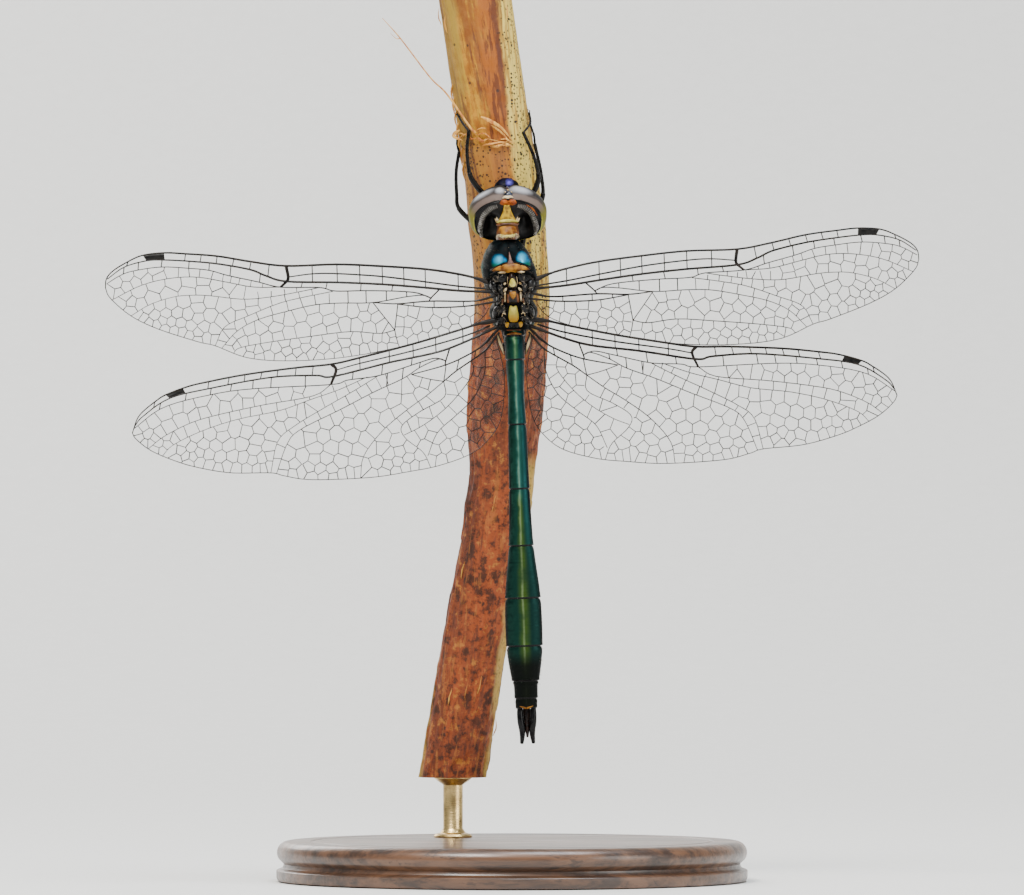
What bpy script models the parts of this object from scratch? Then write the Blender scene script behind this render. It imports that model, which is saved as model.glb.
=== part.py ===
"""A male emerald dragonfly clinging head-up to a cut length of dry stem, on a small display stand.

Body frame, in millimetres: x to the animal's right, y towards its belly, z towards its head, with the
origin on its back midway between the fore and hind wings. World frame: +Z up, the back faces -Y.
"""

import math

import bmesh
import bpy
from mathutils import Matrix, Vector

MM = 0.001
GAP = 0.12                       # clearance between neighbouring pieces

# --- how the animal sits -------------------------------------------------------------------------
BODY_LEAN = math.radians(1.9)    # body axis leans to the animal's left
BODY_PLACE = (0.09, -5.5, 51.7)  # body frame's origin in the world

# --- head ----------------------------------------------------------------------------------------
HEAD_CENTRE = (0.0, 2.2, 7.75)
HEAD_BOW = math.radians(52.0)    # how far the face is bowed towards the belly
HEAD_HALF_WIDTH = 3.4
HEAD_HALF_HEIGHT = 2.6
HEAD_FRONT = 2.3                 # centre to the front of the eyes
HEAD_REAR = 1.35                 # centre to the back of the head
HEAD_REAR_CUT = -0.85            # plane between the eyes and the back of the head
HEAD_REAR_FLATNESS = 0.45        # 1 is a round back, less is flatter
FACE_TOP = 2.3                   # height at which the eyes meet
FACE_SPREAD = 0.45               # how fast the eyes part below it
FACE_STEPS = (0.35, -0.75, -1.6)  # heights that part frons, clypeus, labrum and labium
FACE_BULGE = 1.5                 # how far the face stands out before the eyes
FACE_FLARE = 0.9                 # how much wider it grows where it stands out
ANTENNA_ROOT = (1.2, 3.8, 9.7)   # body frame
ANTENNA_AHEAD = (0.78, 0.47, -0.36)
ANTENNA_LENGTH = 2.2

# --- trunk: height, middle depth, half width, half depth ------------------------------------------
NECK = ((6.7, 0.3, 0.98, 0.6), (7.25, 0.15, 0.8, 0.42), (7.75, -0.06, 0.55, 0.32), (8.25, -0.32, 0.34, 0.22))
PROTHORAX = ((5.38, 0.7, 1.15, 1.35), (5.7, 0.55, 1.28, 1.35), (6.2, 0.45, 1.15, 1.05), (6.58, 0.35, 1.0, 0.75))
THORAX = (
    (5.24, 1.6, 1.4, 1.9), (4.8, 1.7, 1.9, 2.6), (4.0, 1.8, 2.35, 3.1), (2.9, 1.85, 2.6, 3.35),
    (1.6, 1.85, 2.6, 3.35), (0.2, 1.9, 2.5, 3.2), (-1.1, 2.0, 2.35, 2.9), (-2.0, 2.1, 2.0, 2.4),
    (-2.6, 2.15, 1.5, 1.8),
)
THORAX_SIDES = 22
THORAX_SQUARENESS = 2.35

# --- wings: outline points (span, height), from the root to the tip -------------------------------
FORE_LEAD = (
    (2.75, 1.55), (3.6, 2.2), (7.6, 3.12), (13.4, 3.66), (20.0, 3.84), (26.0, 4.88), (30.8, 5.33),
    (33.6, 4.88), (35.5, 3.8), (36.15, 2.5),
)
FORE_TRAIL = (
    (2.75, -0.85), (4.2, -2.15), (8.0, -3.25), (13.8, -4.25), (20.0, -4.55), (24.0, -4.0),
    (28.0, -2.65), (32.0, -1.15), (34.6, 0.35), (36.15, 2.5),
)
HIND_LEAD = (
    (1.2, -3.75), (2.0, -3.05), (3.1, -2.15), (5.0, -2.55), (10.0, -3.68), (16.0, -4.76), (22.0, -4.98),
    (28.0, -5.72), (31.6, -6.95), (33.3, -8.4), (33.8, -9.7),
)
HIND_TRAIL = (
    (1.2, -9.0), (1.9, -11.4), (3.4, -13.1), (7.0, -14.3), (13.0, -14.9), (18.0, -14.8), (21.5, -14.0),
    (27.0, -13.35), (31.0, -11.95), (33.2, -10.5), (33.8, -9.7),
)
WING_THICKNESS = 0.55
WING_DROOP = math.tan(math.radians(4.0))
WING_PITCH = math.tan(math.radians(6.5))
FORE_HINGE = (2.3, 1.9, 0.25)    # span, height and depth at the leading edge's root
HIND_HINGE = (2.3, -2.1, 0.75)
WING_STATIONS = 24
WING_CHORDS = 4
WING_CAMBER = 0.25
HIND_LEFT_TILT = math.tan(math.radians(2.0))   # the left hind wing hangs a little lower at its tip

# --- abdomen -------------------------------------------------------------------------------------
SEGMENT_ENDS = (-2.7, -3.25, -5.35, -11.1, -16.8, -21.85, -26.5, -30.75, -33.85, -35.4, -36.3)
ABDOMEN_SHAPE = (                # height, full width, full depth
    (-2.7, 2.0, 2.3), (-4.2, 1.8, 2.5), (-6.7, 1.57, 1.85), (-8.5, 1.42, 1.55), (-11.1, 1.62, 1.5),
    (-16.8, 1.84, 1.6), (-21.8, 2.22, 1.75), (-26.4, 3.15, 1.95), (-30.7, 3.2, 2.1), (-33.8, 2.35, 1.9),
    (-36.3, 1.75, 1.45),
)
ABDOMEN_DEPTH = (2.1, 2.9)       # axis depth at the first and the last segment
ABDOMEN_ARCH = 0.5
SEGMENT_SIDES = 14
CERCUS = ((0.58, -36.45), (0.64, -37.2), (0.44, -38.2), (0.5, -38.85), (0.62, -39.3))
CERCUS_RADIUS = 0.25
EPIPROCT_LENGTH = 2.5

# --- legs ----------------------------------------------------------------------------------------
# coxa in the body frame; knee in the world; ankle and claw as (height, degrees round the stem)
LEGS = {
    "front_l": ((-0.85, 5.45, 4.1), (-3.78, -0.35, 62.7), (66.8, -37), (68.2, -62)),
    "front_r": ((0.85, 5.45, 4.1), (2.3, -0.45, 62.6), (66.6, 45), (68.3, 80)),
    "middle_l": ((-1.25, 5.5, 2.5), (-4.8, 1.4, 60.0), (64.9, -72), (66.4, -80)),
    "middle_r": ((1.25, 5.45, 2.5), (2.95, 0.7, 61.0), (65.6, 71), (67.3, 76)),
    "hind_l": ((-1.5, 5.4, 0.9), (-0.5, -0.45, 48.0), (45.4, 2.5), (43.4, 6.5)),
    "hind_r": ((1.5, 5.4, 0.9), (0.92, -0.45, 48.0), (45.3, 18), (43.3, 19)),
}
FEMUR_RADII = (0.5, 0.42, 0.4, 0.3)
TIBIA_RADII = (0.28, 0.26, 0.25)
TARSUS_RADII = (0.26, 0.25, 0.25)
TARSUS_ARCH = 0.2
LEG_SIDES = 7
KNEE_ROOM = 0.17                 # tube ends stop this far short of a bending joint

# --- perch and stand -----------------------------------------------------------------------------
STEM = (                         # height, across, depth, radius
    (80.6, -3.6, 1.3, 3.3), (70.2, -2.1, 2.3, 3.3), (61.4, -0.8, 3.1, 3.35), (51.8, 0.0, 4.0, 3.4),
    (41.6, -0.65, 4.8, 3.35), (34.8, -1.05, 5.3, 2.85), (24.6, -2.8, 6.7, 2.85), (9.0, -5.3, 9.6, 3.05),
)
STEM_SIDES = 14
STEM_STEP = 4.0
BASE_RADIUS = 21.0
BASE_HEIGHT = 3.6
BASE_BEVEL = 0.6
BASE_SIDES = 56
ROD_RADIUS = 0.9


# --- small tools ---------------------------------------------------------------------------------
def clear_scene():
    for item in list(bpy.data.objects):
        bpy.data.objects.remove(item, do_unlink=True)


def material(name, colour, roughness, metallic):
    made = bpy.data.materials.new(name)
    made.use_nodes = True
    shader = made.node_tree.nodes["Principled BSDF"]
    shader.inputs["Base Color"].default_value = (*colour, 1.0)
    shader.inputs["Roughness"].default_value = roughness
    shader.inputs["Metallic"].default_value = metallic
    return made


def body_to_world(point):
    turn = Matrix.Rotation(-BODY_LEAN, 3, "Y")
    return turn @ Vector(point) + Vector(BODY_PLACE)


def spline(points, count):
    """Points evenly spread in parameter on a smooth curve through the given ones."""
    knots = [Vector(p) for p in points]
    knots = [2 * knots[0] - knots[1], *knots, 2 * knots[-1] - knots[-2]]
    spans = len(knots) - 3
    curve = []
    for step in range(count + 1):
        place = spans * step / count
        span = min(int(place), spans - 1)
        t = place - span
        a, b, c, d = knots[span:span + 4]
        curve.append(0.5 * (2 * b + (c - a) * t + (2 * a - 5 * b + 4 * c - d) * t ** 2
                            + (3 * b - a - 3 * c + d) * t ** 3))
    return curve


def value_at(curve, key):
    """The curve's other coordinates where its first one equals key."""
    for start, end in zip(curve, curve[1:]):
        low, high = sorted((start[0], end[0]))
        if low <= key <= high and high > low:
            return start.lerp(end, (key - start[0]) / (end[0] - start[0]))[1:]
    nearest = curve[0] if abs(key - curve[0][0]) < abs(key - curve[-1][0]) else curve[-1]
    return nearest[1:]


def oval(centre, across, along, half_width, half_depth, sides, squareness=2.0):
    """A ring of points round centre, in the plane of the vectors across and along."""
    ring = []
    for i in range(sides):
        angle = 2 * math.pi * (i + 0.5) / sides
        c, s = math.cos(angle), math.sin(angle)
        power = 2.0 / squareness
        u = math.copysign(abs(c) ** power, c) * half_width
        v = math.copysign(abs(s) ** power, s) * half_depth
        ring.append(Vector(centre) + u * Vector(across) + v * Vector(along))
    return ring


def add_object(name, bm, look, parent=None):
    bmesh.ops.recalc_face_normals(bm, faces=bm.faces)
    bmesh.ops.scale(bm, vec=(MM, MM, MM), verts=bm.verts)
    mesh = bpy.data.meshes.new(name)
    bm.to_mesh(mesh)
    bm.free()
    mesh.materials.append(look)
    mesh.shade_smooth()
    mesh.set_sharp_from_angle(angle=math.radians(50))
    made = bpy.data.objects.new(name, mesh)
    bpy.context.collection.objects.link(made)
    made.parent = parent
    return made


def loft(name, rings, look, parent=None):
    """A closed solid through rings that all have the same number of points."""
    bm = bmesh.new()
    loops = [[bm.verts.new(p) for p in ring] for ring in rings]
    for low, high in zip(loops, loops[1:]):
        for i in range(len(low)):
            j = (i + 1) % len(low)
            bm.faces.new((low[i], low[j], high[j], high[i]))
    bm.faces.new(loops[0][::-1])
    bm.faces.new(loops[-1])
    return add_object(name, bm, look, parent)


def tube(name, path, radii, sides, look, parent=None):
    """A round bar along path, with its ends drawn in; radii are spread evenly along it."""
    path = [Vector(p) for p in path]
    rings = []
    across = Vector((0.31, 0.93, 0.17))
    for i, point in enumerate(path):
        ahead = path[min(i + 1, len(path) - 1)] - path[max(i - 1, 0)]
        ahead.normalize()
        across = (across - across.dot(ahead) * ahead).normalized()
        place = (len(radii) - 1) * i / (len(path) - 1)
        k = min(int(place), len(radii) - 2)
        radius = radii[k] + (radii[k + 1] - radii[k]) * (place - k)
        along = ahead.cross(across)
        if i == 0:
            rings.append(oval(point, across, along, 0.6 * radius, 0.6 * radius, sides))
            point = point + 0.45 * radius * ahead
        if i == len(path) - 1:
            tip = point
            point = point - 0.45 * radius * ahead
        rings.append(oval(point, across, along, radius, radius, sides))
    rings.append(oval(tip, across, along, 0.6 * radius, 0.6 * radius, sides))
    return loft(name, rings, look, parent)


# --- head ----------------------------------------------------------------------------------------
def head_matrix():
    """Head frame: x across, y forward out of the face, z up to the crown."""
    frame = Matrix.Identity(3)
    forward = Vector((0, math.sin(HEAD_BOW), math.cos(HEAD_BOW)))
    up = Vector((0, -math.cos(HEAD_BOW), math.sin(HEAD_BOW)))
    for row in range(3):
        frame[row][1] = forward[row]
        frame[row][2] = up[row]
    return Matrix.Translation(HEAD_CENTRE) @ frame.to_4x4()


def head_solid(bulge=1.0):
    bm = bmesh.new()
    bmesh.ops.create_uvsphere(bm, u_segments=22, v_segments=16, radius=1.0)
    bmesh.ops.rotate(bm, matrix=Matrix.Rotation(math.pi / 2, 3, "Y"), verts=bm.verts)
    for vert in bm.verts:
        x, y, z = vert.co
        depth = y * HEAD_FRONT * bulge if y > 0 else -HEAD_REAR * (-y) ** HEAD_REAR_FLATNESS
        vert.co = (x * HEAD_HALF_WIDTH, depth, z * HEAD_HALF_HEIGHT)
    return bm


def keep_side(bm, point, normal):
    """Cuts the solid and keeps what lies on the normal's side of the plane."""
    geometry = [*bm.verts, *bm.edges, *bm.faces]
    bmesh.ops.bisect_plane(bm, geom=geometry, plane_co=point, plane_no=normal, clear_inner=True)
    rim = [edge for edge in bm.edges if edge.is_boundary]
    bmesh.ops.holes_fill(bm, edges=rim, sides=0)


def flare_face(bm):
    """Widens the part of the face that stands out before the eyes' surface."""
    for vert in bm.verts:
        x, y, z = vert.co
        shell = (x / HEAD_HALF_WIDTH) ** 2 + (y / HEAD_FRONT) ** 2 + (z / HEAD_HALF_HEIGHT) ** 2
        vert.co.x *= 1 + FACE_FLARE * min(1.0, max(0.0, (shell - 1.05) / 0.6)) * max(0.0, z / HEAD_HALF_HEIGHT)


def add_head_piece(name, bm, look, parent):
    bm.transform(head_matrix())
    return add_object(name, bm, look, parent)


def add_head(looks, parent):
    capsule = head_solid()
    keep_side(capsule, (0, HEAD_REAR_CUT, 0), (0, -1, 0))
    add_head_piece("head_capsule", capsule, looks["black"], parent)

    front = HEAD_REAR_CUT + GAP
    for side, name in ((-1, "eye_l"), (1, "eye_r")):
        eye = head_solid()
        keep_side(eye, (0, front, 0), (0, 1, 0))
        keep_side(eye, (side * GAP / 2, 0, FACE_TOP), (side, 0, FACE_SPREAD))
        keep_side(eye, (side * GAP / 2, 0, 0), (side, 0, 0))
        add_head_piece(name, eye, looks["eye"], parent)

    tops = (HEAD_HALF_HEIGHT, *FACE_STEPS)
    bottoms = (*FACE_STEPS, -HEAD_HALF_HEIGHT)
    names = ("head_frons", "head_clypeus", "head_labrum", "head_labium")
    colours = ("frons", "bronze", "black", "bronze")
    for name, top, bottom, colour in zip(names, tops, bottoms, colours):
        face = head_solid(FACE_BULGE)
        keep_side(face, (0, front, 0), (0, 1, 0))
        for side in (-1, 1):
            keep_side(face, (-side * GAP / 2, 0, FACE_TOP), (-side, 0, -FACE_SPREAD))
        if top < HEAD_HALF_HEIGHT:
            keep_side(face, (0, 0, top - GAP / 2), (0, 0, -1))
        if bottom > -HEAD_HALF_HEIGHT:
            keep_side(face, (0, 0, bottom + GAP / 2), (0, 0, 1))
        flare_face(face)
        add_head_piece(name, face, looks[colour], parent)

    for side, name in ((-1, "antenna_l"), (1, "antenna_r")):
        root = Vector((side * ANTENNA_ROOT[0], *ANTENNA_ROOT[1:]))
        ahead = Vector((side * ANTENNA_AHEAD[0], *ANTENNA_AHEAD[1:]))
        path = [root + ahead * ANTENNA_LENGTH * k / 3 for k in range(4)]
        tube(name, path, (0.26, 0.25), 6, looks["black"], parent)


# --- trunk ---------------------------------------------------------------------------------------
def trunk_piece(name, profile, sides, squareness, look, parent):
    rings = []
    for height, depth, half_width, half_depth in profile:
        rings.append(oval((0, depth, height), (1, 0, 0), (0, 1, 0), half_width, half_depth, sides, squareness))
    return loft(name, rings, look, parent)


def add_trunk(looks, parent):
    trunk_piece("neck", NECK, 12, 2.0, looks["ochre"], parent)
    trunk_piece("prothorax", PROTHORAX, 16, 2.2, looks["ochre"], parent)
    smooth = [tuple(p) for p in spline(THORAX, 2 * (len(THORAX) - 1))]
    trunk_piece("thorax", smooth, THORAX_SIDES, THORAX_SQUARENESS, looks["thorax"], parent)


# --- wings ---------------------------------------------------------------------------------------
def wing_depth(span, height, hinge):
    """Depth of the wing's middle surface: it droops towards the tip, its trailing edge stands dorsal."""
    return hinge[2] + WING_DROOP * (span - hinge[0]) - WING_PITCH * (hinge[1] - height)


def add_wing(name, lead, trail, hinge, side, tilt, look, parent):
    lead_curve = spline([(p[0], p[1], 0.0) for p in lead], 96)
    trail_curve = spline([(p[0], p[1], 0.0) for p in trail], 96)
    root = lead[0][0]
    reach = lead[-1][0] - root
    grid = []
    for i in range(WING_STATIONS + 1):
        turn = 0.5 * math.pi * i / (WING_STATIONS + 0.6)
        span = root + reach * math.sin(turn)
        top = value_at(lead_curve, span)[0]
        bottom = value_at(trail_curve, span)[0]
        row = []
        for j in range(WING_CHORDS + 1):
            share = j / WING_CHORDS
            height = top + (bottom - top) * share
            camber = WING_CAMBER * math.sin(math.pi * share) * math.cos(turn)
            depth = wing_depth(span, height, hinge) - camber
            row.append((side * span, depth, height - tilt * (span - hinge[0])))
        grid.append(row)
    bm = bmesh.new()
    sheets = []
    for face in (-0.5, 0.5):
        shift = Vector((0, face * WING_THICKNESS, 0))
        sheets.append([[bm.verts.new(Vector(p) + shift) for p in row] for row in grid])
    for sheet in sheets:
        for near, far in zip(sheet, sheet[1:]):
            for j in range(WING_CHORDS):
                bm.faces.new((near[j], far[j], far[j + 1], near[j + 1]))
    rims = []
    for sheet in sheets:
        rim = [row[0] for row in sheet]
        rim += sheet[-1][1:]
        rim += [row[-1] for row in sheet[-2::-1]]
        rim += sheet[0][-2:0:-1]
        rims.append(rim)
    for i in range(len(rims[0])):
        j = (i + 1) % len(rims[0])
        bm.faces.new((rims[0][i], rims[0][j], rims[1][j], rims[1][i]))
    return add_object(name, bm, look, parent)


def add_wings(looks, parent):
    for side, letter in ((-1, "l"), (1, "r")):
        tilt = HIND_LEFT_TILT if side < 0 else 0.0
        add_wing("wing_fore_" + letter, FORE_LEAD, FORE_TRAIL, FORE_HINGE, side, 0.0, looks["wing"], parent)
        add_wing("wing_hind_" + letter, HIND_LEAD, HIND_TRAIL, HIND_HINGE, side, tilt, looks["wing"], parent)


# --- abdomen -------------------------------------------------------------------------------------
def abdomen_axis(height):
    share = (SEGMENT_ENDS[0] - height) / (SEGMENT_ENDS[0] - SEGMENT_ENDS[-1])
    first, last = ABDOMEN_DEPTH
    return first + (last - first) * share - ABDOMEN_ARCH * math.sin(math.pi * share)


def abdomen_ring(shape, height):
    width, depth = value_at(shape, height)
    centre = (0, abdomen_axis(height), height)
    return oval(centre, (1, 0, 0), (0, 1, 0), width / 2, depth / 2, SEGMENT_SIDES, 2.15)


def add_abdomen(looks, parent):
    shape = spline(ABDOMEN_SHAPE, 100)
    for number, (top, bottom) in enumerate(zip(SEGMENT_ENDS, SEGMENT_ENDS[1:]), 1):
        top -= GAP / 2
        bottom += GAP / 2
        steps = max(1, round((top - bottom) / 1.5))
        heights = [top + (bottom - top) * k / steps for k in range(steps + 1)]
        rings = [abdomen_ring(shape, height) for height in heights]
        look = looks["black"] if number > 7 else looks["green"]
        loft(f"abdomen_s{number:02d}", rings, look, parent)

    end = abdomen_axis(SEGMENT_ENDS[-1])
    for side, name in ((-1, "cercus_l"), (1, "cercus_r")):
        path = spline([(side * x, end, z) for x, z in CERCUS], 8)
        tube(name, path, (CERCUS_RADIUS, CERCUS_RADIUS), 7, looks["black"], parent)
    top = SEGMENT_ENDS[-1] - 0.15
    path = [(0, end + 0.62 - 0.1 * k, top - EPIPROCT_LENGTH * k / 3) for k in range(4)]
    tube("epiproct", path, (0.32, 0.25), 7, looks["black"], parent)


# --- perch, legs and stand -----------------------------------------------------------------------
def stem_at(curve, height):
    """Middle and radius of the stem at a height."""
    across, depth, radius = value_at(curve, height)
    return Vector((across, depth, height)), radius


def on_stem(curve, height, degrees, clearance):
    """A point off the stem's surface; 0 degrees faces -Y and 90 degrees faces +X."""
    middle, radius = stem_at(curve, height)
    angle = math.radians(degrees)
    return middle + (radius + clearance) * Vector((math.sin(angle), -math.cos(angle), 0))


def add_stem(curve, look):
    top, bottom = STEM[0][0], STEM[-1][0]
    steps = round((top - bottom) / STEM_STEP)
    rings = []
    for k in range(steps + 1):
        middle, radius = stem_at(curve, top + (bottom - top) * k / steps)
        rings.append(oval(middle, (1, 0, 0), (0, 1, 0), radius, radius, STEM_SIDES))
    loft("perch_stem", rings, look)


def between(start, end, room_start, room_end, count):
    """Evenly spaced points from start to end, stopping short of both."""
    way = (end - start).normalized()
    first = start + room_start * way
    last = end - room_end * way
    return [first.lerp(last, k / count) for k in range(count + 1)]


def add_legs(curve, looks):
    for name, (coxa, knee, ankle, claw) in LEGS.items():
        root = body_to_world(coxa)
        knee = Vector(knee)
        ankle = on_stem(curve, *ankle, 0.45)
        claw = on_stem(curve, *claw, 0.4)
        bend = (ankle + claw) / 2
        outward = bend - stem_at(curve, bend.z)[0]
        bend += TARSUS_ARCH * outward.normalized()
        femur = between(root, knee, 0, KNEE_ROOM, 3)
        tibia = between(knee, ankle, KNEE_ROOM, KNEE_ROOM / 2, 2)
        tarsus = [*between(ankle, bend, KNEE_ROOM / 2, 0, 1), claw]
        tube(f"leg_{name}_femur", femur, FEMUR_RADII, LEG_SIDES, looks["black"])
        tube(f"leg_{name}_tibia", tibia, TIBIA_RADII, LEG_SIDES, looks["black"])
        tube(f"leg_{name}_tarsus", tarsus, TARSUS_RADII, LEG_SIDES, looks["black"])


def add_stand(curve, looks):
    rings = []
    edge = BASE_BEVEL
    for height, radius in ((0, BASE_RADIUS), (BASE_HEIGHT - edge, BASE_RADIUS), (BASE_HEIGHT, BASE_RADIUS - edge)):
        rings.append(oval((0, 0, height), (1, 0, 0), (0, 1, 0), radius, radius, BASE_SIDES))
    loft("stand_base", rings, looks["wood"])
    foot, _ = stem_at(curve, STEM[-1][0])
    rings = []
    for height in (BASE_HEIGHT + GAP, STEM[-1][0] - GAP):
        rings.append(oval((foot.x, foot.y, height), (1, 0, 0), (0, 1, 0), ROD_RADIUS, ROD_RADIUS, 20))
    loft("stand_rod", rings, looks["brass"])


def main():
    clear_scene()
    looks = {
        "black": material("black_chitin", (0.012, 0.013, 0.014), 0.3, 0.0),
        "eye": material("compound_eye", (0.16, 0.2, 0.1), 0.2, 0.1),
        "frons": material("frons_metal", (0.09, 0.05, 0.22), 0.25, 0.5),
        "bronze": material("face_chitin", (0.2, 0.13, 0.05), 0.35, 0.1),
        "ochre": material("soft_ochre", (0.45, 0.26, 0.05), 0.5, 0.0),
        "thorax": material("thorax_metal", (0.03, 0.1, 0.09), 0.3, 0.5),
        "green": material("abdomen_metal", (0.02, 0.12, 0.05), 0.28, 0.6),
        "wing": material("wing_membrane", (0.5, 0.48, 0.4), 0.25, 0.0),
        "bark": material("dry_stem", (0.33, 0.18, 0.08), 0.8, 0.0),
        "wood": material("stand_wood", (0.1, 0.05, 0.025), 0.4, 0.0),
        "brass": material("stand_metal", (0.6, 0.45, 0.2), 0.3, 1.0),
    }
    animal = bpy.data.objects.new("dragonfly", None)
    animal.location = [MM * v for v in BODY_PLACE]
    animal.rotation_euler = (0, -BODY_LEAN, 0)
    bpy.context.collection.objects.link(animal)
    add_head(looks, animal)
    add_trunk(looks, animal)
    add_wings(looks, animal)
    add_abdomen(looks, animal)
    stem_curve = spline(STEM, 120)
    add_legs(stem_curve, looks)
    add_stem(stem_curve, looks["bark"])
    add_stand(stem_curve, looks)
    bpy.context.view_layer.update()


main()
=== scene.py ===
"""A life-size museum model of a male emerald dragonfly, head-up on a cut dry stem with a round stand.

The animal is made in its body frame, in millimetres: x to its right, y towards its belly, z towards its
head, with the origin on its back midway between the wings. The head has a frame of its own: x across,
y forward out of the face, z up to the crown. The stem and the stand are made in the world, +Z up.
"""

import functools
import math
import random

import bmesh
import bpy
from mathutils import Matrix, Vector, noise
from mathutils.geometry import delaunay_2d_cdt


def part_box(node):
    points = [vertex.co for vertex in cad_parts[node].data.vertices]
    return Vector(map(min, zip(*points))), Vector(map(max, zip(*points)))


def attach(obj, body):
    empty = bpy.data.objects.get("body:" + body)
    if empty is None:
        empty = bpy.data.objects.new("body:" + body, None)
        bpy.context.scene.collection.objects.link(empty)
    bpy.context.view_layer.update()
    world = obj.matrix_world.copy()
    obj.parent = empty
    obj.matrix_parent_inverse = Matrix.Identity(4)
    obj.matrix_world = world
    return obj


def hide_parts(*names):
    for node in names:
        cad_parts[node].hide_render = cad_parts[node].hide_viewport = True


bl_info = {
    "name": "Emerald Dragonfly on a Stem",
    "version": (1, 0, 0),
    "blender": (4, 5, 0),
    "location": "View3D > Sidebar > Dragonfly",
    "description": "Builds a life-size museum model of a male emerald dragonfly on a cut stem",
    "category": "Add Mesh",
}

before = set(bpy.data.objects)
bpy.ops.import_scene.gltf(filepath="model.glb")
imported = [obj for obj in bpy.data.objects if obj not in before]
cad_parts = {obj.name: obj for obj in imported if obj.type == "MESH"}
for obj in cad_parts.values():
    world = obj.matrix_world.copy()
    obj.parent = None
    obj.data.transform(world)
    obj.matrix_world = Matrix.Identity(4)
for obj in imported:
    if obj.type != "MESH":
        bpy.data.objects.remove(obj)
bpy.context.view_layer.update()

MM = 0.001
TO_MM = 1000.0
BODY = "root"
SIDES = ((-1, "l"), (1, "r"))
ACROSS, DEEP = (1, 0, 0), (0, 1, 0)

# --- where things are ----------------------------------------------------------------------------
BODY_LEAN = math.radians(1.9)
THORAX_TO_ORIGIN = Vector((0.075, -1.85, -1.318))
HEAD_CENTRE = (-0.22, 2.2, 7.75)
HEAD_BOW = math.radians(52.0)
FRONT_LEAN = 0.27                # how far the neck stands to the left of the body's middle
FRONT_ROLL = 0.085               # how far the front's sides turn to the left, per depth
WAIST = 0.22                     # how far the thorax is drawn in between the wings
WAIST_REACH = 0.75
SLIMMING = 0.07                  # how much slimmer the whole thorax is than its plain form
PLATE_SPAN = 6                   # points between two corners of a plate
PLATE_SINK = 0.12                # how deep a plate's edge lies in the form that carries it
HAIR_POINTS = 7                  # points of one bristle


def middle_of(solid):
    """The middle of a CAD node's box, in millimetres."""
    low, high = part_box(solid)
    return (low + high) / 2 * TO_MM


def head_frame():
    """The head's own frame, bowed forward on the neck."""
    turn = Matrix.Identity(3)
    forward = Vector((0, math.sin(HEAD_BOW), math.cos(HEAD_BOW)))
    crown = Vector((0, -math.cos(HEAD_BOW), math.sin(HEAD_BOW)))
    for row in range(3):
        turn[row][1] = forward[row]
        turn[row][2] = crown[row]
    return Matrix.Translation(HEAD_CENTRE) @ turn.to_4x4()


WORLD_FRAME = Matrix.Identity(4)
BODY_FRAME = Matrix.Translation(middle_of("thorax") + THORAX_TO_ORIGIN) @ Matrix.Rotation(-BODY_LEAN, 4, "Y")
HEAD_FRAME = BODY_FRAME @ head_frame()


# --- curves and meshes ---------------------------------------------------------------------------
def catmull(a, b, c, d, t):
    """The point at share t between b and c on a smooth curve through a, b, c and d."""
    bend = (2 * a - 5 * b + 4 * c - d) * t ** 2
    return 0.5 * (2 * b + (c - a) * t + bend + (3 * b - a - 3 * c + d) * t ** 3)


def spline(points, count):
    """Points evenly spread in parameter on a smooth curve through the given ones."""
    knots = [Vector(p) for p in points]
    knots = [2 * knots[0] - knots[1], *knots, 2 * knots[-1] - knots[-2]]
    spans = len(knots) - 3
    curve = []
    for step in range(count + 1):
        place = spans * step / count
        span = min(int(place), spans - 1)
        curve.append(catmull(*knots[span:span + 4], place - span))
    return curve


def closed_spline(points, per_span):
    """A smooth closed outline through the given points."""
    knots = [Vector(p) for p in points]
    count = len(knots)
    curve = []
    for k in range(count):
        near = [knots[(k + n) % count] for n in (-1, 0, 1, 2)]
        curve += [catmull(*near, step / per_span) for step in range(per_span)]
    return curve


def value_at(curve, key):
    """The curve's other coordinates where its first one equals key."""
    for start, end in zip(curve, curve[1:]):
        low, high = sorted((start[0], end[0]))
        if low <= key <= high and high > low:
            return start.lerp(end, (key - start[0]) / (end[0] - start[0]))[1:]
    nearest = curve[0] if abs(key - curve[0][0]) < abs(key - curve[-1][0]) else curve[-1]
    return nearest[1:]


def smooth_step(low, high, value):
    """Rises softly from 0 at low to 1 at high."""
    share = min(1.0, max(0.0, (value - low) / (high - low)))
    return share * share * (3 - 2 * share)


def bell(value, middle, reach):
    """1 at the middle, falling off softly to both sides."""
    return math.exp(-((value - middle) / reach) ** 2)


def around(count):
    """The cosines and sines of turns that are evenly spread round a circle."""
    turns = [2 * math.pi * i / count for i in range(count)]
    return [(math.cos(turn), math.sin(turn)) for turn in turns]


def oval(centre, across, along, half_width, half_depth, sides, squareness=2.0):
    """A ring of points round centre, in the plane of the vectors across and along."""
    ring = []
    power = 2.0 / squareness
    for c, s in around(sides):
        u = math.copysign(abs(c) ** power, c) * half_width
        v = math.copysign(abs(s) ** power, s) * half_depth
        ring.append(Vector(centre) + u * Vector(across) + v * Vector(along))
    return ring


def level_oval(y, z, half_width, half_depth, sides, squareness=2.0, x=0):
    """A ring that lies level, across the height z."""
    return oval((x, y, z), ACROSS, DEEP, half_width, half_depth, sides, squareness)


def skin(bm, rings, caps=(True, True), look=0):
    """Faces through closed rings with the same number of points each."""
    loops = [[bm.verts.new(p) for p in ring] for ring in rings]
    for low, high in zip(loops, loops[1:]):
        bridge(bm, low, high, look)
    if caps[0]:
        bm.faces.new(loops[0][::-1]).material_index = look
    if caps[1]:
        bm.faces.new(loops[-1]).material_index = look
    return loops


def bridge(bm, low, high, look=0):
    """Faces between two loops with the same number of points."""
    count = len(low)
    for i in range(count):
        j = (i + 1) % count
        bm.faces.new((low[i], low[j], high[j], high[i])).material_index = look


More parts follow.
